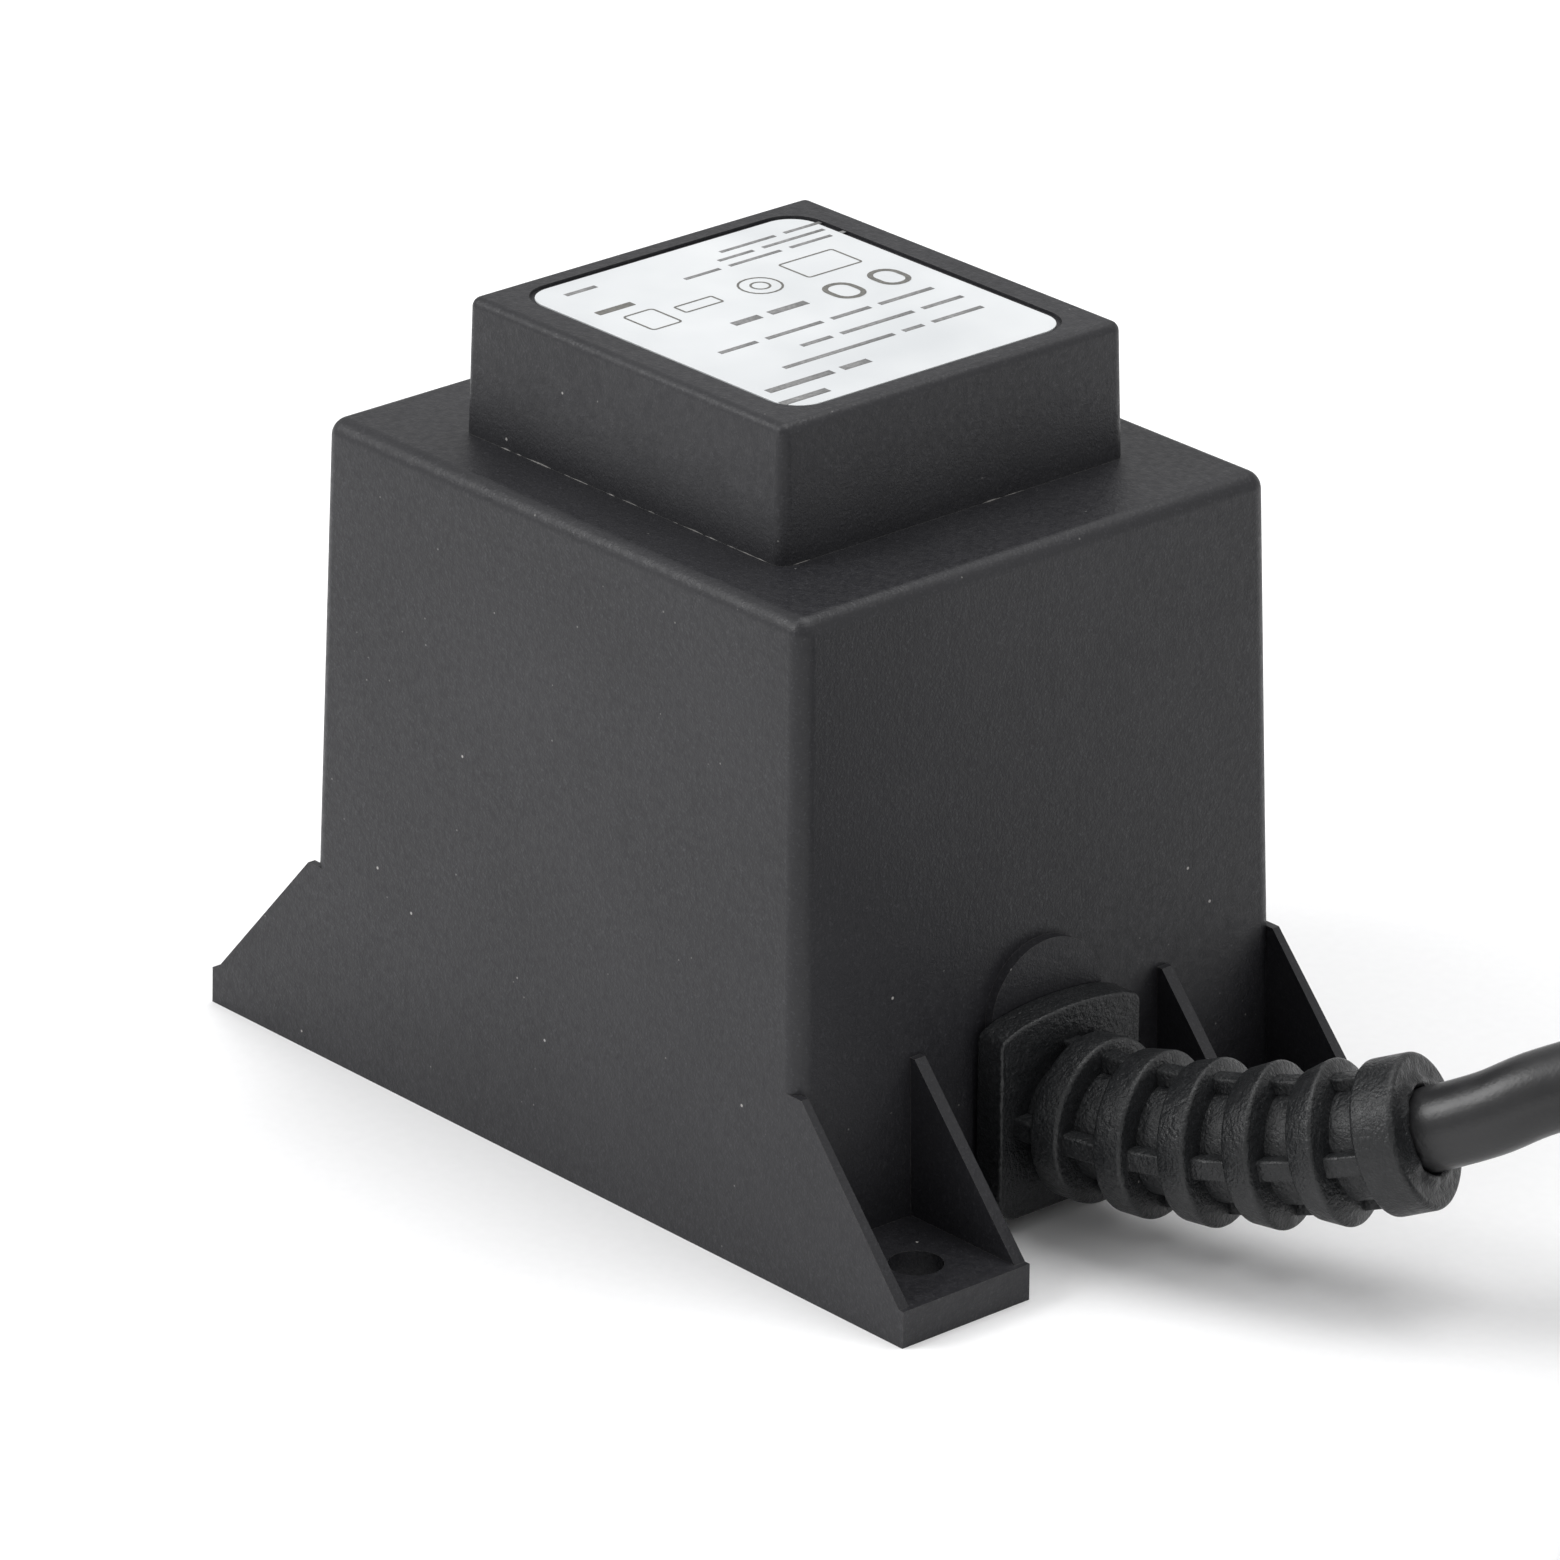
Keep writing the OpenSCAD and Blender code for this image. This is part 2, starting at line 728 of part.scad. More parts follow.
module winding(fill, y) {
  ring_block(
    tube_w + 2 * winding_h * fill, tube_h + 2 * winding_h * fill,
    tube_w, tube_h, chamber_l, y, 2
  );
}

module wrap(fill, y) {
  translate([0, y + chamber_l / 2, stack_z])
    rotate([90, 0, 0])
      linear_extrude(chamber_l)
        difference() {
          rounded(tube_w + 2 * winding_h * fill + 2 * wrap_t, tube_h + 2 * winding_h * fill + 2 * wrap_t, 2 + wrap_t);
          rounded(tube_w + 2 * winding_h * fill, tube_h + 2 * winding_h * fill, 2);
        }
}

module primary_winding() {
  color([0.72, 0.4, 0.2])
    winding(primary_fill, chamber_y);
}

module secondary_winding() {
  color([0.76, 0.44, 0.22])
    winding(secondary_fill, -chamber_y);
}

module primary_wrap() {
  color([0.9, 0.8, 0.3])
    wrap(primary_fill, chamber_y);
}

module secondary_wrap() {
  color([0.9, 0.8, 0.3])
    wrap(secondary_fill, -chamber_y);
}

module terminal_pins() {
  color([0.8, 0.79, 0.75])
    posts(1);
}

module live_wire() {
  color([0.45, 0.26, 0.14])
    cord_tube(live_points, core_wire_d / 2, 10, 2);
}

module neutral_wire() {
  color([0.2, 0.4, 0.7])
    cord_tube(neutral_points, core_wire_d / 2, 10, 2);
}

module fuse_metal() {
  translate([-fuse_l / 2, fuse_y, fuse_z])
    rotate([0, 90, 0])
      cylinder(d = fuse_d, h = fuse_l);
  translate([-fuse_sleeve_l / 2 - 2, fuse_y, fuse_z])
    rotate([0, 90, 0])
      cylinder(d = lead_d, h = fuse_sleeve_l + 4);
}

module thermal_fuse() {
  color([0.75, 0.7, 0.6])
    fuse_metal();
}

module link_wire() {
  color([0.45, 0.26, 0.14])
    cord_tube(link_points, core_wire_d / 2, 10, 2);
}

module fuse_sleeve() {
  color([0.95, 0.93, 0.88])
    difference() {
      translate([-fuse_sleeve_l / 2, fuse_y, fuse_z])
        rotate([0, 90, 0])
          cylinder(d = fuse_d + 2 * fuse_sleeve_t, h = fuse_sleeve_l);
      translate([-fuse_sleeve_l / 2 - 1, fuse_y, fuse_z])
        rotate([0, 90, 0])
          cylinder(d = fuse_d, h = fuse_sleeve_l + 2);
    }
}

module potting_resin() {
  color([0.16, 0.15, 0.14])
    difference() {
      cavity(resin_dip);
      translate([-core_w / 2, -core_d / 2, stack_z0])
        cube([core_w, core_d, stack_h]);
      translate([-cheek_w / 2, -bobbin_l / 2, stack_z - cheek_h / 2])
        cube([cheek_w, bobbin_l, cheek_h]);
      for (s = [0, 1]) {
        mirror([0, s, 0])
          translate([-cheek_w / 2, rail_y0, rail_z])
            cube([cheek_w, rail_d, rail_h]);
        mirror([s, 0, 0])
          translate([flange_x - flange_t, -flange_w / 2, resin_dip - 1])
            cube([flange_t, flange_w, axis_z + flange_w / 2 - resin_dip + 1]);
        mirror([s, 0, 0])
          slot(slot_w, flange_x - 0.01, pad_x, -1);
      }
      posts(1);
      translate([jacket_x, 0, axis_z])
        rotate([0, 90, 0])
          cylinder(d = cord_d + 2 * lead_fit, h = 20);
      live_wire();
      neutral_wire();
      link_wire();
      fuse_metal();
      translate([-fuse_sleeve_l / 2, fuse_y, fuse_z])
        rotate([0, 90, 0])
          cylinder(d = fuse_d + 2 * fuse_sleeve_t, h = fuse_sleeve_l);
    }
}

module mains_cord_run() {
  color([0.08, 0.08, 0.09])
    cord_tube(run_points, cord_r, 12, 2);
}

module mains_cord_coil() {
  w = coil_cols * cord_d;
  h = coil_rows * cord_d;
  color([0.08, 0.08, 0.09])
    translate([coil_x, coil_y, 0])
      rotate_extrude()
        translate([coil_r, h / 2])
          rounded(w, h, cord_r);
}

module mains_cord_tail() {
  color([0.08, 0.08, 0.09])
    cord_tube(tail_points, cord_r, 12, 2);
}

module cord_tie() {
  w = coil_cols * cord_d;
  h = coil_rows * cord_d;
  color([0.1, 0.1, 0.1])
    translate([coil_x, coil_y, 0])
      rotate([0, 0, 62])
        intersection() {
          difference() {
            translate([coil_r, 0, h / 2])
              rotate([90, 0, 0])
                linear_extrude(tie_w, center = true)
                  rounded(w + 2 * tie_t, h + 2 * tie_t, cord_r + tie_t);
            rotate_extrude()
              translate([coil_r, h / 2])
                rounded(w, h, cord_r);
          }
          translate([0, -20, 0])
            cube([2 * coil_mid_d, 40, 60]);
        }
}

module plug_shape() {
  translate([0, 0, 0])
    intersection() {
      cylinder(d = plug_d, h = plug_front_l);
      translate([-plug_flat_w / 2, -plug_d / 2, -1])
        cube([plug_flat_w, plug_d, plug_front_l + 2]);
    }
  translate([0, 0, plug_front_l - 0.01])
    cylinder(d1 = plug_flat_w - 2, d2 = plug_grip_d, h = plug_grip_l);
  translate([0, 0, plug_front_l + plug_grip_l - 0.02])
    cylinder(d1 = plug_grip_d - 4, d2 = plug_neck_d, h = plug_neck_l);
}

module plug_place() {
  translate(tail_end + plug_l * heading(plug_turn, 0))
    rotate([0, 0, plug_turn - 180])
      rotate([0, 90, 0])
        children();
}

module plug_body() {
  color([0.09, 0.09, 0.1])
    plug_place()
      difference() {
        plug_shape();
        translate([0, 0, -1])
          cylinder(d = plug_flat_w - 4, h = holder_t + 1);
      }
}

module plug_holder() {
  color([0.14, 0.14, 0.15])
    plug_place()
      difference() {
        cylinder(d = plug_flat_w - 4, h = holder_t);
        for (s = [-1, 1]) {
          translate([0, s * pin_pitch / 2, -1])
            cylinder(d = pin_root_d, h = holder_t + 2);
        }
      }
}

module plug_pins() {
  color([0.83, 0.82, 0.78])
    plug_place()
      for (s = [-1, 1]) {
        translate([0, s * pin_pitch / 2, -pin_l])
          cylinder(d = pin_d, h = pin_l);
        translate([0, s * pin_pitch / 2, -0.5])
          cylinder(d = pin_root_d, h = 0.5 + holder_t);
      }
}

housing();
rating_label();
potting_resin();
e_laminations();
i_laminations();
bobbin();
primary_winding();
secondary_winding();
primary_wrap();
secondary_wrap();
thermal_fuse();
fuse_sleeve();
link_wire();
terminal_pins();
live_wire();
neutral_wire();
output_grommet();
strain_relief();
mains_cord_run();
mains_cord_coil();
mains_cord_tail();
cord_tie();
plug_body();
plug_holder();
plug_pins();
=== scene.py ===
import json
import math
import random

import bmesh
import bpy
from mathutils import Matrix, Vector

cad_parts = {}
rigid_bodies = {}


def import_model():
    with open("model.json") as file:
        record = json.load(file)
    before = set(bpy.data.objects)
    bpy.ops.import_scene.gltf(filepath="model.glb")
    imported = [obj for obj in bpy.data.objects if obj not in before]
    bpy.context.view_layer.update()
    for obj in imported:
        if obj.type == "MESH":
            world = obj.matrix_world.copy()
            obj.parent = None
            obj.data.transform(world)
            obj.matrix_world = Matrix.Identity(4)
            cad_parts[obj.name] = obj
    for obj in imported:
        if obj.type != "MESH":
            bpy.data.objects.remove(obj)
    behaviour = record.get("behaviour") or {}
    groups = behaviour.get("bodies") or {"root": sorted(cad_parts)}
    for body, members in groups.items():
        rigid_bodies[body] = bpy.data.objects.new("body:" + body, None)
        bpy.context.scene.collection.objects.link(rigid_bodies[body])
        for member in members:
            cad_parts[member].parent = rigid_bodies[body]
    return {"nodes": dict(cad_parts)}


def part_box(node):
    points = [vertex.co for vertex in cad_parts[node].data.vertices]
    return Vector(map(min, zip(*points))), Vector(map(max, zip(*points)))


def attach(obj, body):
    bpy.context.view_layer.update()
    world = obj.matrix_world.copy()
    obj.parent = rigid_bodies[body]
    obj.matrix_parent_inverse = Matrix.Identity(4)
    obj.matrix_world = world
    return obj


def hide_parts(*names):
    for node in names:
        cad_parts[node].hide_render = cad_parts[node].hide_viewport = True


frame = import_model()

bl_info = {
    "name": "Potted Transformer Block",
    "version": (1, 0, 0),
    "blender": (4, 5, 0),
    "location": "View3D > Sidebar > Transformer",
    "description": "Builds a potted transformer block with its strain relief, mains lead and plug",
    "category": "Object",
}

MM = 0.001


# settings

def length_setting(title, text, value, low, high):
    return bpy.props.FloatProperty(
        name=title, description=text, default=value, min=low, max=high, unit="LENGTH")


def count_setting(title, text, value, low, high):
    return bpy.props.IntProperty(name=title, description=text, default=value, min=low, max=high)


class HousingSettings(bpy.types.PropertyGroup):
    edge: length_setting(
        "Edge Radius", "Radius on the sharp edges of the moulding", 0.00065, 0.00005, 0.001)
    # the flash slivers are painted light grey: painted highlight along the foot of the boss
    flash_and_highlight: count_setting(
        "Flash Pieces", "Slivers of moulding flash left along the foot of the boss", 26, 0, 80)


class LabelSettings(bpy.types.PropertyGroup):
    print_lift: length_setting(
        "Print Lift", "How far the printed bars stand on the label", 0.000018, 0.000005, 0.0001)
    line: length_setting(
        "Line Width", "Width of the drawn outlines", 0.00022, 0.0001, 0.001)


class ReliefSettings(bpy.types.PropertyGroup):
    ring_width: length_setting(
        "Ring Width", "Length of one ring along the lead", 0.0031, 0.002, 0.005)
    sleeve: length_setting(
        "Sleeve Diameter", "Diameter of the core between the rings", 0.0104, 0.009, 0.012)
    rib: length_setting(
        "Rib Width", "Width of the four ribs that tie the rings together", 0.002, 0.001, 0.004)


class LeadSettings(bpy.types.PropertyGroup):
    diameter: length_setting(
        "Diameter", "Diameter of the mains lead", 0.0076, 0.006, 0.0085)
    sides: count_setting(
        "Sides", "Sides of the lead's cross section", 28, 8, 64)


class CoreSettings(bpy.types.PropertyGroup):
    primary_wire: length_setting(
        "Primary Wire", "Diameter of the enamelled wire of the primary winding", 0.0005, 0.0001, 0.002)
    secondary_wire: length_setting(
        "Secondary Wire", "Diameter of the enamelled wire of the secondary winding", 0.001, 0.0002, 0.003)


# materials

def link(tree, a, b):
    tree.links.new(a, b)


def add_node(tree, kind, *first, **named):
    """A node with inputs linked or set: the first ones in order, the rest by name, with _ for a space."""
    node = tree.nodes.new(kind)
    for name, value in (*enumerate(first), *named.items()):
        socket = node.inputs[name if isinstance(name, int) else name.replace("_", " ")]
        if isinstance(value, bpy.types.NodeSocket):
            link(tree, value, socket)
        else:
            socket.default_value = value
    return node


def new_material(name, base, rough, metal=0.0, spec=0.5):
    """A material with its tree, its shader and the place on the object that patterns follow."""
    mat = bpy.data.materials.new(name)
    mat.use_nodes = True
    tree = mat.node_tree
    shader = tree.nodes["Principled BSDF"]
    shader.inputs["Base Color"].default_value = (*base, 1)
    shader.inputs["Roughness"].default_value = rough
    shader.inputs["Metallic"].default_value = metal
    shader.inputs["Specular IOR Level"].default_value = spec
    return mat, tree, shader, tree.nodes.new("ShaderNodeTexCoord").outputs["Object"]


def noise(tree, vector, scale, detail=3.0, rough=0.5):
    return add_node(
        tree, "ShaderNodeTexNoise", Vector=vector, Scale=scale, Detail=detail, Roughness=rough).outputs["Fac"]


def ramp(tree, value, stops):
    """Greys and colours between the stops; a grey is given as one number."""
    node = add_node(tree, "ShaderNodeValToRGB", Fac=value)
    line = node.color_ramp
    while len(line.elements) < len(stops):
        line.elements.new(0.5)
    for element, (place, color) in zip(line.elements, stops):
        element.position = place
        element.color = (*color, 1) if len(color) == 3 else (color[0],) * 3 + (1,)
    return node.outputs["Color"]


def shade(tree, shader, socket, value, stops):
    link(tree, ramp(tree, value, stops), shader.inputs[socket])


def mix(tree, how, amount, a, b):
    node = tree.nodes.new("ShaderNodeMix")
    node.data_type = "RGBA"
    node.blend_type = how
    for socket, value in ((node.inputs[0], amount), (node.inputs[6], a), (node.inputs[7], b)):
        if isinstance(value, bpy.types.NodeSocket):
            link(tree, value, socket)
        elif isinstance(value, (int, float)):
            socket.default_value = value
        else:
            socket.default_value = (*value, 1)
    return node.outputs[2]


def bump(tree, shader, height, strength, distance):
    node = add_node(tree, "ShaderNodeBump", Height=height, Strength=strength, Distance=distance)
    link(tree, node.outputs["Normal"], shader.inputs["Normal"])


def dust(tree, vector, scale, size, share):
    """Mask of separate round specks."""
    cells = add_node(tree, "ShaderNodeTexVoronoi", Vector=vector, Scale=scale, Randomness=1.0)
    near = ramp(tree, cells.outputs["Distance"], [(size * 0.6, (1,)), (size, (0,))])
    pick = add_node(tree, "ShaderNodeSeparateColor", Color=cells.outputs["Color"])
    some = ramp(tree, pick.outputs["Red"], [(1 - share, (0,)), (1 - share + 0.01, (1,))])
    return mix(tree, "MULTIPLY", 1.0, near, some)


def eroded_plastic(name, dark, light, grain, depth, rough, specks=0.5, cloud=45.0, spec=0.5):
    """Moulded plastic from a spark-eroded tool: fine grain, faint clouds and dust."""
    mat, tree, shader, vector = new_material(name, light, rough, spec=spec)
    fine = noise(tree, vector, 1 / grain, 2.0, 0.6)
    coarse = noise(tree, vector, 0.38 / grain, 3.0, 0.55)
    cloudy = noise(tree, vector, cloud, 4.0, 0.6)
    color = mix(tree, "MIX", ramp(tree, cloudy, [(0.3, (0,)), (0.72, (1,))]), dark, light)
    glint = tuple(min(1, c * 2.4 + 0.01) for c in light)
    color = mix(tree, "MIX", ramp(tree, fine, [(0.56, (0,)), (0.8, (0.55,))]), color, glint)
    if specks:
        color = mix(tree, "MIX", dust(tree, vector, 620.0, 0.07, specks * 0.16), color, (0.13, 0.128, 0.125))
        color = mix(tree, "MIX", dust(tree, vector, 260.0, 0.045, specks * 0.35), color, (0.34, 0.33, 0.32))
    link(tree, color, shader.inputs["Base Color"])
    shade(tree, shader, "Roughness", coarse, [(0.3, (rough - 0.09,)), (0.7, (rough + 0.09,))])
    height = mix(tree, "MIX", 0.5, fine, coarse)
    bump(tree, shader, height, 1.0, depth)
    return mat


def lead_rubber(name):
    mat, tree, shader, vector = new_material(name, (0.012, 0.012, 0.013), 0.36, spec=0.55)
    fine = noise(tree, vector, 2400, 2.0)
    broad = noise(tree, vector, 220, 4.0)
    color = ramp(tree, broad, [(0.3, (0.009, 0.009, 0.010)), (0.7, (0.018, 0.018, 0.019))])
    color = mix(tree, "MIX", dust(tree, vector, 420.0, 0.05, 0.16), color, (0.2, 0.2, 0.19))
    link(tree, color, shader.inputs["Base Color"])
    shade(tree, shader, "Roughness", broad, [(0.3, (0.3,)), (0.75, (0.44,))])
    bump(tree, shader, mix(tree, "MIX", 0.35, broad, fine), 0.7, 0.00009)
    return mat


def label_film(name):
    mat, tree, shader, vector = new_material(name, (0.8, 0.82, 0.86), 0.42, metal=0.15, spec=0.5)
    fine = noise(tree, vector, 1800, 3.0)
    broad = noise(tree, vector, 60, 3.0)
    color = ramp(tree, broad, [(0.3, (0.6, 0.62, 0.635)), (0.7, (0.7, 0.715, 0.725))])
    color = mix(tree, "MIX", dust(tree, vector, 300.0, 0.05, 0.08), color, (0.4, 0.4, 0.4))
    link(tree, color, shader.inputs["Base Color"])
    shade(tree, shader, "Roughness", broad, [(0.3, (0.36,)), (0.7, (0.5,))])
    bump(tree, shader, fine, 0.25, 0.00002)
    return mat


def ink(name, dark, light):
    mat, tree, shader, vector = new_material(name, dark, 0.55)
    worn = noise(tree, vector, 3000, 3.0)
    shade(tree, shader, "Base Color", worn, [(0.35, dark), (0.75, light)])
    bump(tree, shader, worn, 0.2, 0.00001)
    return mat


def plain_plastic(name, dark, light, rough, grain=0.0008, depth=0.00003, sub=0.0):
    mat, tree, shader, vector = new_material(name, light, rough)
    fine = noise(tree, vector, 1 / grain, 3.0)
    broad = noise(tree, vector, 90, 3.0)
    shade(tree, shader, "Base Color", broad, [(0.25, dark), (0.75, light)])
    shade(tree, shader, "Roughness", fine, [(0.3, (rough - 0.07,)), (0.7, (rough + 0.07,))])
    bump(tree, shader, fine, 0.6, depth)
    if sub:
        shader.inputs["Subsurface Weight"].default_value = sub
        shader.inputs["Subsurface Scale"].default_value = 0.001
    return mat


def metal(name, dark, light, rough, scale=900.0, depth=0.00002, stretch=None):
    mat, tree, shader, vector = new_material(name, light, rough, metal=1.0)
    if stretch:
        vector = add_node(tree, "ShaderNodeMapping", Vector=vector, Scale=stretch).outputs["Vector"]
    fine = noise(tree, vector, scale, 4.0, 0.6)
    broad = noise(tree, vector, scale / 9, 3.0)
    shade(tree, shader, "Base Color", broad, [(0.25, dark), (0.75, light)])
    shade(tree, shader, "Roughness", fine, [(0.3, (max(0.05, rough - 0.12),)), (0.7, (rough + 0.12,))])
    bump(tree, shader, fine, 0.5, depth)
    return mat


def potting(name):
    mat, tree, shader, vector = new_material(name, (0.02, 0.018, 0.016), 0.18, spec=0.55)
    broad = noise(tree, vector, 55, 4.0, 0.6)
    fine = noise(tree, vector, 900, 2.0)
    shade(tree, shader, "Base Color", broad, [(0.3, (0.012, 0.011, 0.010)), (0.7, (0.032, 0.028, 0.024))])
    shade(tree, shader, "Roughness", fine, [(0.35, (0.12,)), (0.8, (0.32,))])
    pits = dust(tree, vector, 180.0, 0.14, 0.3)
    bump(tree, shader, mix(tree, "SUBTRACT", 0.6, broad, pits), 0.8, 0.00035)
    return mat


MATERIALS = {}


def build_materials():
    m = MATERIALS
    m["housing"] = eroded_plastic("housing_plastic",
        (0.0115, 0.0115, 0.0138), (0.0185, 0.0184, 0.0212),
        0.00028, 0.00008, 0.45, specks=1.0, spec=0.38)
    # painted highlight and wear: the rounded edges get this much lighter plastic, standing for light along the
    # edges together with rubbed wear
    m["edge"] = eroded_plastic("housing_edge_highlight_and_wear",
        (0.032, 0.030, 0.028), (0.105, 0.099, 0.09),
        0.00022, 0.00014, 0.42, specks=0.0, spec=0.5)
    # painted highlight: flash slivers painted light grey, far lighter than the housing, for the line of light
    # along the foot of the boss
    m["flash_and_highlight"] = ink("flash_highlight_grey", (0.05, 0.048, 0.046), (0.2, 0.19, 0.18))
    m["relief"] = eroded_plastic("relief_rubber",
        (0.0062, 0.0066, 0.0072), (0.0125, 0.0134, 0.0146),
        0.00036, 0.00026, 0.42, specks=0.4, spec=0.42)
    m["cord"] = lead_rubber("lead_rubber")
    m["tie"] = plain_plastic("tie_nylon", (0.012, 0.012, 0.012), (0.02, 0.02, 0.021), 0.38)
    m["plug"] = eroded_plastic("plug_plastic",
        (0.011, 0.011, 0.012), (0.017, 0.017, 0.018),
        0.00045, 0.00006, 0.48, specks=0.2, spec=0.35)
    m["holder"] = plain_plastic("holder_plastic", (0.03, 0.03, 0.032), (0.05, 0.05, 0.052), 0.45)
    m["pins"] = metal("pin_nickel", (0.62, 0.6, 0.55), (0.78, 0.76, 0.71), 0.22, 700.0)
    m["label"] = label_film("label_film")
    m["ink"] = ink("label_ink", (0.16, 0.16, 0.16), (0.27, 0.27, 0.27))
    m["ink_bold"] = ink("label_ink_bold", (0.1, 0.098, 0.09), (0.17, 0.165, 0.15))
    m["resin"] = potting("potting_resin")
    m["steel"] = metal(
        "silicon_steel", (0.16, 0.17, 0.19), (0.33, 0.34, 0.36), 0.42, 500.0, 0.00004, stretch=(1, 1, 4))
    m["nylon"] = plain_plastic("natural_nylon", (0.66, 0.63, 0.53), (0.8, 0.78, 0.69), 0.45, sub=0.15)
    m["copper"] = metal("enamelled_copper", (0.36, 0.12, 0.04), (0.62, 0.25, 0.09), 0.25, 600.0)
    m["wrap"] = plain_plastic("polyester_wrap", (0.6, 0.42, 0.04), (0.78, 0.58, 0.08), 0.28)
    m["fuse"] = metal("fuse_case", (0.5, 0.47, 0.4), (0.72, 0.69, 0.62), 0.3)
    m["tin"] = metal("tinned_pin", (0.6, 0.59, 0.56), (0.8, 0.79, 0.76), 0.28)
    m["live"] = plain_plastic("live_brown", (0.1, 0.035, 0.012), (0.17, 0.065, 0.025), 0.4)
    m["neutral"] = plain_plastic("neutral_blue", (0.015, 0.06, 0.28), (0.03, 0.1, 0.42), 0.4)


def dress(obj, *names):
    obj.data.materials.clear()
    for name in names:
        obj.data.materials.append(MATERIALS[name])


# mesh tools

def place_object(name, data):
    obj = bpy.data.objects.new(name, data)
    bpy.context.scene.collection.objects.link(obj)
    return obj


def add_mesh(name, bm, *materials, smooth=True):
    mesh = bpy.data.meshes.new(name)
    bm.normal_update()
    bm.to_mesh(mesh)
    bm.free()
    for face in mesh.polygons:
        face.use_smooth = smooth
    obj = place_object(name, mesh)
    dress(obj, *materials)
    return obj


def point_cloud(name, spots, **vectors):
    """Loose points, each with one vector of every name."""
    mesh = bpy.data.meshes.new(name)
    mesh.from_pydata(spots, [], [])
    for title, values in vectors.items():
        for item, value in zip(mesh.attributes.new(title, "FLOAT_VECTOR", "POINT").data, values):
            item.vector = value
    return place_object(name, mesh)


def apply_modifiers(obj):
    bpy.context.view_layer.update()
    graph = bpy.context.evaluated_depsgraph_get()
    mesh = bpy.data.meshes.new_from_object(obj.evaluated_get(graph))
    obj.modifiers.clear()
    obj.data = mesh
    return obj


def round_edges(obj, width, segments=2, angle=30.0, material=-1):
    bevel = obj.modifiers.new("round", "BEVEL")
    bevel.width = width
    bevel.segments = segments
    bevel.limit_method = "ANGLE"
    bevel.angle_limit = math.radians(angle)
    bevel.use_clamp_overlap = True
    bevel.miter_outer = "MITER_ARC"
    bevel.harden_normals = False
    bevel.material = material
    normals = obj.modifiers.new("normals", "WEIGHTED_NORMAL")
    normals.keep_sharp = True
    return apply_modifiers(obj)


def cad_copy(node):
    """Merged copy of a CAD node's mesh, flat areas joined into single faces."""
    bm = bmesh.new()
    bm.from_mesh(frame["nodes"][node].data)
    bmesh.ops.remove_doubles(bm, verts=bm.verts, dist=2e-6)
    bmesh.ops.dissolve_limit(bm, angle_limit=math.radians(1.0), verts=bm.verts, edges=bm.edges)
    return bm


def skin(bm, rings):
    """Faces between each closed ring of vertices and the next."""
    for low, high in zip(rings, rings[1:]):
        for k in range(len(low)):
            n = (k + 1) % len(low)
            bm.faces.new((low[k], low[n], high[n], high[k]))


def lathe(bm, at, axis, side, profile, count):
    """Turns (height, radius) pairs about the axis at a point; returns the rings of vertices."""
    axis = Vector(axis).normalized()
    side = Vector(side).normalized()
    other = axis.cross(side)
    rings = []
    for height, radius in profile:
        ring = []
        for k in range(count):
            a = 2 * math.pi * k / count
            p = Vector(at) + axis * height + (side * math.cos(a) + other * math.sin(a)) * radius
            ring.append(bm.verts.new(p))
        rings.append(ring)
    skin(bm, rings)
    return rings


def arc(cx, cy, r, a0, a1, steps):
    out = []
    for k in range(steps + 1):
        a = math.radians(a0 + (a1 - a0) * k / steps)
        out.append((cx + r * math.cos(a), cy + r * math.sin(a)))
    return out


def prism(bm, outline, place, low, high):
    """Extrudes a closed outline of (a, b) pairs; place(a, b, h) gives the point."""
    bottom = [bm.verts.new(place(a, b, low)) for a, b in outline]
    top = [bm.verts.new(place(a, b, high)) for a, b in outline]
    bm.faces.new(bottom[::-1])
    bm.faces.new(top)
    skin(bm, [bottom, top])


def spline(points, steps):
    """Catmull-Rom points from the second to the last but one."""
    out = []
    for k in range(1, len(points) - 2):
        a, b, c, d = points[k - 1:k + 3]
        for s in range(steps):
            t = s / steps
            out.append(0.5 * (
                2 * b + (c - a) * t + (2 * a - 5 * b + 4 * c - d) * t * t + (3 * b - a - 3 * c + d) * t ** 3))
    out.append(points[-2].copy())
    return out


def polyline(name, points):
    curve = bpy.data.curves.new(name, "CURVE")
    curve.dimensions = "3D"
    line = curve.splines.new("POLY")
    line.points.add(len(points) - 1)
    for p, q in zip(line.points, points):
        p.co = (*q, 1)
    return place_object(name, curve)


# node trees

def new_tree(name, inputs):
    tree = bpy.data.node_groups.new(name, "GeometryNodeTree")
    tree.interface.new_socket("Geometry", in_out="INPUT", socket_type="NodeSocketGeometry")
    for label, kind, value in inputs:
        socket = tree.interface.new_socket(label, in_out="INPUT", socket_type=kind)
        if value is not None:
            socket.default_value = value
    tree.interface.new_socket("Geometry", in_out="OUTPUT", socket_type="NodeSocketGeometry")
    start = tree.nodes.new("NodeGroupInput")
    end = tree.nodes.new("NodeGroupOutput")
    return tree, start, end


def attribute(tree, name):
    node = add_node(tree, "GeometryNodeInputNamedAttribute", Name=name)
    node.data_type = "FLOAT_VECTOR"
    return node.outputs["Attribute"]


def finish_tree(tree, start, end, geometry):
    """Realize, smooth and give the material that the modifier's input names."""
    real = add_node(tree, "GeometryNodeRealizeInstances", geometry)
    smooth = add_node(tree, "GeometryNodeSetShadeSmooth", real.outputs[0])
    paint = add_node(tree, "GeometryNodeSetMaterial", smooth.outputs[0], Material=start.outputs["Material"])
    link(tree, paint.outputs[0], end.inputs[0])


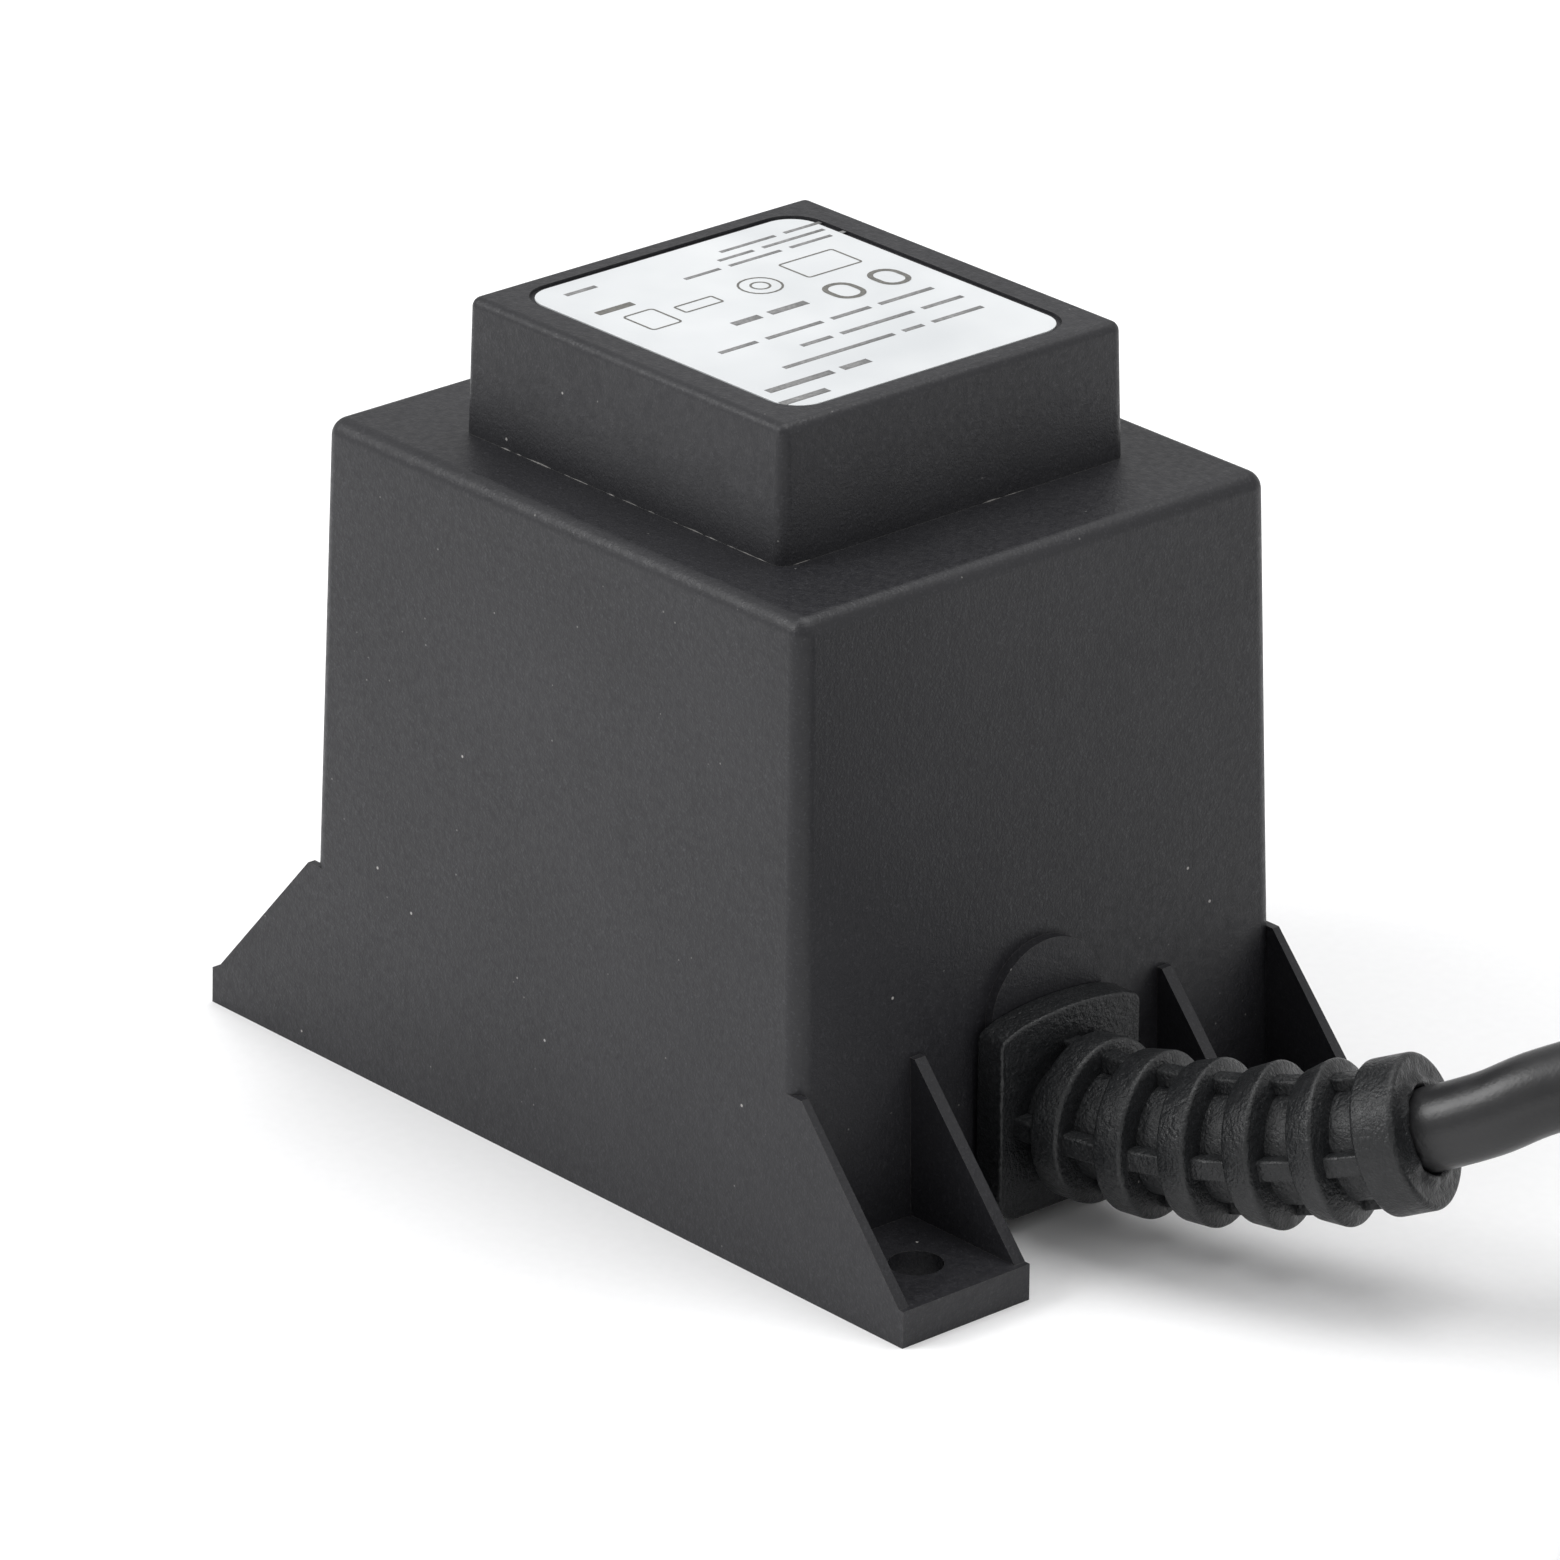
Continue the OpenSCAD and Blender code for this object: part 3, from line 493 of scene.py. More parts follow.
def run_tree(obj, tree, values):
    """Puts the tree on the object with these inputs and turns the result into a plain mesh."""
    mod = obj.modifiers.new(tree.name, "NODES")
    mod.node_group = tree
    names = {s.name: s.identifier for s in tree.interface.items_tree if s.in_out == "INPUT"}
    for name, value in values.items():
        mod[names[name]] = value
    bpy.context.view_layer.update()
    graph = bpy.context.evaluated_depsgraph_get()
    mesh = bpy.data.meshes.new_from_object(obj.evaluated_get(graph))
    mesh.name = obj.name
    if obj.type == "MESH":
        obj.modifiers.clear()
        obj.data = mesh
        return obj
    name = obj.name
    obj.name = name + "_path"
    made = place_object(name, mesh)
    bpy.data.objects.remove(obj)
    return made


def rings_tree():
    """One rounded ring on every point, facing along its 'aim' and as wide as its 'size'."""
    tree, start, end = new_tree("relief_rings", [
        ("Width", "NodeSocketFloat", 0.003),
        ("Rounding", "NodeSocketFloat", 0.0004),
        ("Sides", "NodeSocketInt", 80),
        ("Material", "NodeSocketMaterial", None),
    ])
    width = start.outputs["Width"]
    circle = add_node(tree, "GeometryNodeCurvePrimitiveCircle", Resolution=start.outputs["Sides"], Radius=1.0)
    turn = add_node(tree, "FunctionNodeAlignRotationToVector", Vector=attribute(tree, "aim"))
    turn.axis = "Z"
    place = add_node(
        tree, "GeometryNodeInstanceOnPoints", Points=start.outputs["Geometry"], Instance=circle.outputs[0],
        Rotation=turn.outputs["Rotation"], Scale=attribute(tree, "size"))
    real = add_node(tree, "GeometryNodeRealizeInstances", place.outputs[0])
    outline = add_node(tree, "GeometryNodeCurvePrimitiveQuadrilateral", Width=width, Height=width)
    fillet = tree.nodes.new("GeometryNodeFilletCurve")
    if hasattr(fillet, "mode"):
        fillet.mode = "POLY"
    fillet.inputs["Count"].default_value = 4
    link(tree, outline.outputs[0], fillet.inputs["Curve"])
    link(tree, start.outputs["Rounding"], fillet.inputs["Radius"])
    sweep = add_node(tree, "GeometryNodeCurveToMesh", Curve=real.outputs[0], Profile_Curve=fillet.outputs[0])
    finish_tree(tree, start, end, sweep.outputs[0])
    return tree


def winding_tree():
    """Turns of wire in layers: the section of one wire swept along every turn's path."""
    tree, start, end = new_tree("wire_turns", [
        ("Wire", "NodeSocketFloat", 0.0005),
        ("Sides", "NodeSocketInt", 6),
        ("Material", "NodeSocketMaterial", None),
    ])
    half = add_node(tree, "ShaderNodeMath", start.outputs["Wire"], 0.5)
    half.operation = "MULTIPLY"
    section = add_node(
        tree, "GeometryNodeCurvePrimitiveCircle", Resolution=start.outputs["Sides"], Radius=half.outputs[0])
    sweep = add_node(
        tree, "GeometryNodeCurveToMesh", Curve=start.outputs["Geometry"], Profile_Curve=section.outputs[0],
        Fill_Caps=True)
    finish_tree(tree, start, end, sweep.outputs[0])
    return tree


# shared sizes

LEDGE_Z = 0.0628
LABEL_Z = 0.07555
BOSS_HIGH = 0.0129
BOSS_X, BOSS_Y = 0.0426 / 2, 0.0403 / 2
BOSS_SLOPE = math.tan(math.radians(1.8))
HALF_DEPTH = 0.0586257 / 2
BODY_SLOPE = math.tan(math.radians(1.38))
PAD_X = 0.034413
PLATE_X = 0.037713
WALL_X = 0.031077
WALL_THICK = 0.0022
AXIS_Z = 0.0106
RING_TURN = (9, 15, 18.5, 21.5, 24, 26)
RING_RISE = (2, 5.5, 9.5, 13, 17, 21)
RING_PITCH = 0.0062
COIL = Vector((0.1545, 0.0185, 0))
COIL_ENTER, COIL_LEAVE = 82.0, 5.0
TAIL_R = 0.03192
PLUG_TURN = COIL_LEAVE - 240.0
PLUG_L = 49.0
BOBBIN_X, BOBBIN_Z = 0.01075, 0.01371


def heading(turn, rise):
    t, r = math.radians(turn), math.radians(rise)
    return Vector((math.cos(r) * math.cos(t), math.cos(r) * math.sin(t), math.sin(r)))


def ring_at(i):
    p = Vector((0.039213, 0, AXIS_Z))
    for k in range(i):
        p = p + RING_PITCH * heading(RING_TURN[k], RING_RISE[k])
    return p


def ring_d(i):
    return 0.0152 + (0.0141 - 0.0152) * i / 5


def about_coil(r, turn, z):
    """Point round the coil, in millimetres about its middle."""
    t = math.radians(turn)
    return COIL + Vector((r * math.cos(t), r * math.sin(t), z)) * MM


def ease(u):
    u = min(1.0, max(0.0, u))
    return u * u * (3 - 2 * u)


def tail_z(a):
    """Height of the tail above the floor: up onto the top row, then up to the plug."""
    return 11.4 + 7.65 * ease((a + 45) / 60) + 11.2 * ease((a - 15) / 135)


def tail_arc(a):
    return about_coil(13.68, COIL_LEAVE, tail_z(a)) + TAIL_R * heading(COIL_LEAVE - a, 0)


def plug_axis(x):
    """Point on the plug's axis, x millimetres behind its face."""
    return tail_arc(150) + (PLUG_L - x) * MM * heading(PLUG_TURN, 0)


def turn_plug(bm):
    """Lay a plug built along +x from the origin on the coil."""
    place = Matrix.Translation(plug_axis(0)) @ Matrix.Rotation(math.radians(PLUG_TURN - 180), 4, "Z")
    bmesh.ops.transform(bm, matrix=place, verts=bm.verts)


def lead_route():
    """Centreline of the whole lead: out of the wall, over and down, round the coil, to the plug."""
    collar = ring_at(5) + 0.0042 * heading(26, 21)
    first = collar + 0.006 * heading(30, 24)
    second = first + 0.006 * heading(39, 27.5)
    start = [Vector(p) * MM for p in ((16, 0, 10.6), (24, 0, 10.6), (29.5, 0, 10.6), (34.413, 0, 10.6))]
    fall = [Vector(p) * MM for p in (
        (88, 23.7, 25.7), (95, 31.2, 25.9), (101.7, 39, 22.9), (108.2, 46.9, 17.4), (114.3, 54, 11.8))]
    fall += [about_coil(r, a, z) for r, a, z in (
        (53.6, 127.7, 6.5), (53.6, 116.7, 3.9), (51.1, 105.6, 3.8), (47.7, 94.7, 3.8))]
    turns = coil_route()
    run = start + [ring_at(i) for i in range(6)] + [collar, first, second] + fall + [turns[0], turns[2]]
    tail = [about_coil(45.6, COIL_LEAVE - a, tail_z(a)) for a in (-60, -45, -30, -15)]
    tail += [tail_arc(12.5 * k) for k in range(13)] + [plug_axis(PLUG_L - 6), plug_axis(PLUG_L - 14)]
    return spline(run, 6)[:-1] + turns[:-1] + spline(tail, 6)


def coil_route():
    """Six turns in three columns and two layers, each changing over a little before the last one did."""
    radius = (45.6, 38.0, 30.4, 30.4, 38.0, 45.6)
    level = (3.8, 3.8, 3.8, 11.4, 11.4, 11.4)
    width = 38.0
    change = [(k + 1) * (360.0 - width) for k in range(5)]
    sweep = 5 * 360.0 + COIL_ENTER - COIL_LEAVE - 45.0
    out = []
    for i in range(int(sweep // 5) + 1):
        a = min(5.0 * i, sweep)
        k = sum(a >= c + width for c in change)
        r, z = radius[k], level[k]
        if k < 5 and a > change[k]:
            u = ease((a - change[k]) / width)
            r += (radius[k + 1] - r) * u
            z += (level[k + 1] - z) * u
        out.append(about_coil(r, COIL_ENTER - a, z))
    if sweep - 5.0 * (len(out) - 1) > 1.0:
        out.append(about_coil(radius[5], COIL_ENTER - sweep, level[5]))
    return out


# pieces

def keep(obj, slot, *nodes):
    """A finished piece: rides on the block and stands for its CAD nodes; the slot argument is not used."""
    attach(obj, "root")
    if nodes:
        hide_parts(*nodes)
    return obj


class BLOCK_OT_housing(bpy.types.Operator):
    """Moulded housing with rounded edges painted lighter as painted highlight and wear, moulding flash painted
    light grey as a painted highlight, and dust
    """
    bl_idname = "block.housing"
    bl_label = "Housing"

    def execute(self, context):
        s = context.scene.block_housing
        shell = add_mesh("housing_shell", self.flush_feet(cad_copy("housing")), "housing", "edge")
        # the rounded edges take slot 1, the lighter edge plastic: painted highlight and wear
        round_edges(shell, s.edge, 3, 26.0, material=1)
        keep(shell, "housing", "housing")
        keep(self.flash_and_highlight(s), "housing")
        return {"FINISHED"}

    def flush_feet(self, bm):
        """Lean the outer gussets with the side walls, so that both lie in one face."""
        for v in bm.verts:
            wall = HALF_DEPTH - BODY_SLOPE * v.co.z
            if v.co.z < 0.025 and abs(v.co.y) > wall:
                v.co.y = math.copysign(wall, v.co.y)
        bmesh.ops.remove_doubles(bm, verts=bm.verts, dist=0.00002)
        bmesh.ops.dissolve_degenerate(bm, edges=bm.edges, dist=0.00001)
        bmesh.ops.dissolve_limit(bm, angle_limit=math.radians(0.6), verts=bm.verts, edges=bm.edges)
        return bm

    def flash_and_highlight(self, s):
        """Slivers left where the two halves of the tool met at the foot of the boss, painted light grey as a
        painted highlight.
        """
        rng = random.Random(5)
        bm = bmesh.new()
        x0, y0 = BOSS_X + BOSS_SLOPE * BOSS_HIGH, BOSS_Y + BOSS_SLOPE * BOSS_HIGH
        sides = (((-x0 + 0.002, -y0), (x0 - 0.0012, -y0)), ((x0, -y0 + 0.0012), (x0, y0 - 0.002)),
                 ((x0 - 0.002, y0), (-x0 + 0.002, y0)), ((-x0, y0 - 0.002), (-x0, -y0 + 0.002)))
        for n in range(s.flash_and_highlight):
            (ax, ay), (bx, by) = sides[0] if n % 4 else sides[1 + (n // 4) % 3]
            low = rng.uniform(0.0, 0.95)
            length = rng.uniform(0.0006, 0.0026)
            along = Vector((bx - ax, by - ay, 0))
            total = along.length
            along.normalize()
            out = Vector((along.y, -along.x, 0))
            p = Vector((ax, ay, LEDGE_Z)) + along * total * low
            wide = rng.uniform(0.00005, 0.0001)
            tall = rng.uniform(0.00005, 0.00012)
            swell = (0.3, 1, 0.4)
            ends = [p + along * length * share - out * 0.0001 for share in (0, 0.5, 1)]
            lows = [q + out * (0.0001 + wide * f) - Vector((0, 0, 0.00003)) for q, f in zip(ends, swell)]
            tops = [q + Vector((0, 0, tall * f)) + out * 0.00008 for q, f in zip(ends, swell)]
            rows = [[bm.verts.new(v) for v in row] for row in (ends, tops, lows)]
            for a, b in ((0, 1), (1, 2), (2, 0)):
                for k in range(2):
                    bm.faces.new((rows[a][k], rows[a][k + 1], rows[b][k + 1], rows[b][k]))
            bm.faces.new([r[0] for r in rows])
            bm.faces.new([r[2] for r in rows][::-1])
        bmesh.ops.recalc_face_normals(bm, faces=bm.faces)
        return add_mesh("boss_flash_highlight", bm, "flash_and_highlight", smooth=False)


class BLOCK_OT_label(bpy.types.Operator):
    """Plain label with rows of bars in place of print"""
    bl_idname = "block.label"
    bl_label = "Label"

    def execute(self, context):
        s = context.scene.block_label
        film = add_mesh("label_film", cad_copy("rating_label"), "label")
        round_edges(film, 0.00005, 2, 30.0)
        keep(film, "label", "rating_label")
        keep(self.bars(s), "label")
        keep(self.shapes(s), "label")
        return {"FINISHED"}

    def bars(self, s):
        """Rows of short bars, one bar for each word: place across, start, end, width of the stroke."""
        rows = (
            (16.6, -16.2, 0.95, (5.4,)),
            (13.6, -15.2, 0.95, (7.6, 3.2)),
            (10.2, -10.3, 0.62, (13.0, 2.4, 6.0)),
            (7.1, -5.5, 0.62, (3.6, 8.6, 4.8)),
            (3.8, -12.2, 0.62, (4.4, 6.6, 4.6, 6.4)),
            (-0.8, -6.6, 0.95, (3.2, 4.4)),
            (-12.2, -2.4, 0.5, (4.2, 6.2, 5.0, 1.8)),
            (-13.8, 3.0, 0.5, (4.2, 7.4)),
            (-15.4, 4.6, 0.5, (6.6, 4.4)),
            (-16.0, -13.2, 0.6, (3.6,)),
        )
        spots, sizes = [], []
        for x, y, stroke, words in rows:
            for word in words:
                spots.append(Vector((x, y + word / 2, 0)) * MM)
                sizes.append((stroke * MM, word * MM, s.print_lift))
                y += word + 1.1
        bars = point_cloud("label_bars", spots, size=sizes)
        return run_tree(bars, bars_tree(), {"Height": LABEL_Z, "Material": MATERIALS["ink"]})

    def shapes(self, s):
        """Plain generic shapes between the rows."""
        bm = bmesh.new()

        def place(a, b, h):
            return Vector((a * MM, b * MM, LABEL_Z + h))

        def frame_of(x, y, w, d, t, r):
            outer = rounded(x, y, w, d, r, 5)
            inner = rounded(x, y, w - 2 * t, d - 2 * t, max(0.05, r - t), 5)
            skin(bm, [[bm.verts.new(place(p, q, s.print_lift)) for p, q in edge] for edge in (outer, inner)])

        t = s.line / MM
        prism(bm, rounded(-10.6, -12.0, 0.9, 4.2, 0.1, 3), place, 0.0, s.print_lift)
        frame_of(-6.4, -11.2, 4.4, 3.6, t, 0.5)
        frame_of(-6.6, -5.6, 1.9, 4.6, t, 0.3)
        frame_of(-6.6, 1.7, 4.2, 4.2, t, 2.0)
        frame_of(-6.6, 1.7, 2.0, 2.0, t, 1.0)
        frame_of(-7.4, 9.6, 4.4, 6.6, t, 0.4)
        frame_of(-0.8, 6.6, 4.2, 3.4, 0.55, 1.6)
        frame_of(-0.8, 12.0, 4.2, 3.4, 0.55, 1.6)
        return add_mesh("label_shapes", bm, "ink_bold", smooth=False)


def rounded(x, y, w, d, r, steps):
    out = []
    for cx, cy, a in ((1, -1, -90), (1, 1, 0), (-1, 1, 90), (-1, -1, 180)):
        out += arc(x + cx * (w / 2 - r), y + cy * (d / 2 - r), r, a, a + 90, steps)
    return out


def bars_tree():
    """A flat bar on every point, as wide, long and thick as its 'size'."""
    tree, start, end = new_tree("label_rows", [
        ("Height", "NodeSocketFloat", 0.0),
        ("Material", "NodeSocketMaterial", None),
    ])
    lift = add_node(tree, "ShaderNodeCombineXYZ", Z=start.outputs["Height"])
    move = add_node(
        tree, "GeometryNodeSetPosition", Geometry=start.outputs["Geometry"], Offset=lift.outputs[0])
    bar = tree.nodes.new("GeometryNodeMeshCube")
    place = add_node(
        tree, "GeometryNodeInstanceOnPoints", Points=move.outputs[0], Instance=bar.outputs["Mesh"],
        Scale=attribute(tree, "size"))
    finish_tree(tree, start, end, place.outputs[0])
    return tree


class BLOCK_OT_relief(bpy.types.Operator):
    """Strain relief: arched plate, rings, end collar, ribs and the core under them"""
    bl_idname = "block.relief"
    bl_label = "Strain Relief"

    def execute(self, context):
        s = context.scene.block_relief
        rings = self.rings(s)
        body = self.body(s)
        whole = [rings, body]
        with context.temp_override(active_object=body, selected_editable_objects=whole):
            bpy.ops.object.join()
        body.name = "strain_relief_body"
        keep(body, "relief", "strain_relief")
        grommet = add_mesh("output_grommet_body", cad_copy("output_grommet"), "relief")
        round_edges(grommet, 0.00045, 3, 30.0)
        keep(grommet, "relief", "output_grommet")
        return {"FINISHED"}

    def rings(self, s):
        aims = [heading(RING_TURN[i], RING_RISE[i]) for i in range(5)]
        spots = [ring_at(i) + aims[i] * s.ring_width / 2 for i in range(5)]
        sizes = [(ring_d(i) / 2 - s.ring_width / 2,) * 3 for i in range(5)]
        return run_tree(point_cloud("rings", spots, aim=aims, size=sizes), rings_tree(), {
            "Width": s.ring_width, "Rounding": 0.00042, "Material": MATERIALS["relief"]})

    def body(self, s):
        bm = bmesh.new()
        core = [Vector((0.026, 0, AXIS_Z)), Vector((0.0355, 0, AXIS_Z))] + [ring_at(i) for i in range(6)]
        core += [ring_at(5) + 0.0032 * heading(26, 21), ring_at(5) + 0.009 * heading(28, 23)]
        tube(bm, spline(core, 5), s.sleeve / 2, 48)
        for i in range(6):
            self.ribs(bm, s, i)
        self.collar(bm)
        self.plate(bm)
        bmesh.ops.recalc_face_normals(bm, faces=bm.faces)
        obj = add_mesh("strain_relief_body", bm, "relief")
        return round_edges(obj, 0.0003, 3, 40.0)

    def frame_at(self, i):
        """Start, direction, downward and sideways vectors of one ring; the plate counts as ring -1."""
        if i < 0:
            plate = Vector((PLATE_X - 0.0004, 0, AXIS_Z))
            return plate, Vector((1, 0, 0)), Vector((0, 0, -1)), Vector((0, 1, 0))
        ahead = heading(RING_TURN[i], RING_RISE[i])
        t = math.radians(RING_TURN[i])
        side = Vector((-math.sin(t), math.cos(t), 0))
        return ring_at(i), ahead, side.cross(ahead), side

    def ribs(self, bm, s, i):
        p0, a0, d0, e0 = self.frame_at(i - 1)
        p1, a1, d1, e1 = self.frame_at(i)
        p0 = p0 + a0 * (s.ring_width - 0.0004 if i else 0)
        p1 = p1 + a1 * 0.0004
        reach = ring_d(i) / 2 - 0.00075
        low = s.sleeve / 2 - 0.0005
        for k in range(4):
            corners = []
            for p, d, e in ((p0, d0, e0), (p1, d1, e1)):
                out = (d, e, -d, -e)[k]
                wide = (e, -d, -e, d)[k]
                corners.append([
                    bm.verts.new(p + out * r + wide * w * s.rib / 2)
                    for r, w in ((low, -1), (reach, -1), (reach, 1), (low, 1))])
            bm.faces.new(corners[0][::-1])
            bm.faces.new(corners[1])
            skin(bm, corners)

    def collar(self, bm):
        p, ahead, _, side = self.frame_at(5)
        r = ring_d(5) / 2
        length = 0.0042
        lip = 0.0039
        profile = [(0.0002, 0.0046)] + arc(0.00042, r - 0.00042, 0.00042, 180, 90, 4)
        profile += arc(length - 0.00055, r - 0.00055, 0.00055, 90, 0, 5)
        profile += [(length + h, q) for h, q in (
            (0, 0.0055), (0.00005, 0.0050), (0.0003, 0.00465), (0.00035, 0.0043), (0.00012, lip),
            (-0.0012, lip - 0.00008))]
        rings = lathe(bm, p, ahead, side, profile, 80)
        rng = random.Random(11)
        waves = [(rng.uniform(-0.00013, 0.00016), rng.randint(3, 17), rng.uniform(0, 6.3)) for _ in range(9)]
        for ring in rings[-5:-1]:
            for k, v in enumerate(ring):
                v.co += ahead * sum(w * math.sin(n * 2 * math.pi * k / 80 + q) for w, n, q in waves) * 0.5

    def plate(self, bm):
        low, wide, tall, crown, r, top = 1.5, 16.8, 18.0, 1.1, 2.4, 1.0
        chord = wide / 2
        big = (chord * chord + crown * crown) / (2 * crown)
        cz = low + tall + crown - big
        outline = arc(-chord + r, low + r, r, 180, 270, 6) + arc(chord - r, low + r, r, 270, 360, 6)
        span = math.degrees(math.asin((chord - top) / big))
        outline += arc(chord - top, low + tall - top, top, 0, 65, 5)
        for k in range(1, 14):
            a = math.radians(span - span * 2 * k / 14)
            outline.append((big * math.sin(a), cz + big * math.cos(a)))
        outline += arc(-chord + top, low + tall - top, top, 115, 180, 5)

        def place(a, b, h):
            return Vector((h, a * MM, b * MM))

        prism(bm, outline, place, PAD_X, PLATE_X)
        neck = [(-5, 0.2), (5, 0.2)] + arc(0, 10.6, 5, 0, 180, 24)
        prism(bm, neck, place, WALL_X - 0.000177, PAD_X + 0.0003)
        prism(bm, [(-7.5, 1.2), (7.5, 1.2), (7.5, 18.1), (-7.5, 18.1)], place, WALL_X - WALL_THICK, WALL_X)


def tube(bm, line, radius, sides):
    """Sweeps a circle along the points without twist."""
    n = len(line)
    ahead = [(line[min(k + 1, n - 1)] - line[max(k - 1, 0)]).normalized() for k in range(n)]
    side = ahead[0].orthogonal().normalized()
    rings = []
    for k in range(n):
        side = (side - ahead[k] * side.dot(ahead[k])).normalized()
        other = ahead[k].cross(side)
        rings.append([bm.verts.new(line[k] + (side * math.cos(a) + other * math.sin(a)) * radius)
                      for a in (2 * math.pi * j / sides for j in range(sides))])
    skin(bm, rings)
    bm.faces.new(rings[0][::-1])
    bm.faces.new(rings[-1])


class BLOCK_OT_lead(bpy.types.Operator):
    """Mains lead from the wall to the plug, with the tie round its coil"""
    bl_idname = "block.lead"
    bl_label = "Mains Lead"

    def execute(self, context):
        s = context.scene.block_lead
        route = lead_route()
        route = [p for k, p in enumerate(route) if k == 0 or (p - route[k - 1]).length > 0.0002]
        line = polyline("mains_lead", route)
        lead = run_tree(line, winding_tree(), {
            "Wire": s.diameter, "Sides": s.sides, "Material": MATERIALS["cord"]})
        keep(lead, "cord", "mains_cord_run", "mains_cord_coil", "mains_cord_tail")
        tie = add_mesh("coil_tie", self.tie(), "tie")
        round_edges(tie, 0.0002, 2, 30.0)
        keep(tie, "tie", "cord_tie")
        context.scene["lead_route"] = [c for p in route for c in p]
        return {"FINISHED"}

    def tie(self):
        """Strap round the coil with its lock and cut end."""
        bm = cad_copy("cord_tie")
        a = math.radians(62)
        out = Vector((math.cos(a), math.sin(a), 0))
        along = Vector((-out.y, out.x, 0))
        middle = COIL + out * (0.038 + 0.0095) + Vector((0, 0, 0.0154))

        def place(u, v, h):
            return middle + out * u * MM + along * v * MM + Vector((0, 0, h))

        prism(bm, rounded(0, 0, 4.6, 5.2, 0.6, 3), place, 0.0, 0.0029)
        prism(bm, rounded(-3.6, 0, 4.2, 3.0, 0.3, 2), place, 0.0008, 0.0017)
        return bm


class BLOCK_OT_plug(bpy.types.Operator):
    """Contour plug with its bend relief, insert and pins"""
    bl_idname = "block.plug"
    bl_label = "Plug"

    def execute(self, context):
        body = add_mesh("plug_shell", self.shell(), "plug")
        body = round_edges(body, 0.0003, 2, 50.0)
        rings = self.rings()
        with context.temp_override(active_object=body, selected_editable_objects=[rings, body]):
            bpy.ops.object.join()
        body.name = "plug_shell"
        keep(body, "plug", "plug_body")
        insert = add_mesh("plug_insert", cad_copy("plug_holder"), "holder")
        round_edges(insert, 0.0003, 2, 40.0)
        keep(insert, "holder", "plug_holder")
        pins = add_mesh("plug_contacts", cad_copy("plug_pins"), "pins")
        round_edges(pins, 0.0009, 5, 60.0)
        keep(pins, "pins", "plug_pins")
        return {"FINISHED"}

    def shell(self):
        """Loft of rounded sections from the face to the neck, with a recess for the insert."""
        bm = bmesh.new()
        count = 96
        sections = (
            (0.0, 17.0, 14.2), (0.25, 17.6, 14.72), (0.8, 17.92, 14.95), (1.6, 18.0, 15.0), (7.0, 18.0, 15.0),
            (12.0, 17.8, 14.95), (14.2, 17.2, 14.75), (16.2, 15.8, 14.3), (18.4, 14.0, 13.2), (21.0, 12.6, 12.2),
            (25.0, 11.4, 11.2), (29.0, 10.3, 10.2), (33.0, 9.2, 9.1), (35.6, 8.6, 8.5), (36.4, 8.3, 8.3),
            (36.9, 7.6, 7.6), (37.1, 6.6, 6.6), (37.3, 5.4, 5.4), (41.0, 5.1, 5.1), (48.0, 4.75, 4.75),
            (48.9, 4.6, 4.6), (49.0, 3.9, 3.9), (47.0, 3.82, 3.82))
        rings = []
        for x, wide, tall in sections:
            ring = []
            for k in range(count):
                a = 2 * math.pi * k / count
                c, s = math.cos(a), math.sin(a)
                power = 2.0 / (2.6 if wide > tall + 0.2 else 2.0)
                y = wide * math.copysign(abs(c) ** power, c)
                z = tall * math.copysign(abs(s) ** power, s)
                ring.append(bm.verts.new(Vector((x, y, z)) * MM))
            rings.append(ring)
        skin(bm, rings)
        rims = [rings[0]]
        for x, r in ((0.0, 13.4), (0.25, 13.05), (4.0, 13.02)):
            turns = [2 * math.pi * k / count for k in range(count)]
            rims.append([bm.verts.new(Vector((x, r * math.cos(a), r * math.sin(a))) * MM) for a in turns])
        skin(bm, rims)
        bm.faces.new(rims[-1])
        bmesh.ops.recalc_face_normals(bm, faces=bm.faces)
        turn_plug(bm)
        return bm

    def rings(self):
        """Rings of the bend relief on the neck."""
        spots = [plug_axis(38.4 + k * 2.3) for k in range(5)]
        sizes = [((5.55 - k * 0.28) * MM,) * 3 for k in range(5)]
        rings = point_cloud("neck_rings", spots, aim=[-heading(PLUG_TURN, 0)] * 5, size=sizes)
        return run_tree(rings, bpy.data.node_groups["relief_rings"], {
            "Width": 0.0013, "Rounding": 0.0004, "Sides": 64, "Material": MATERIALS["plug"]})


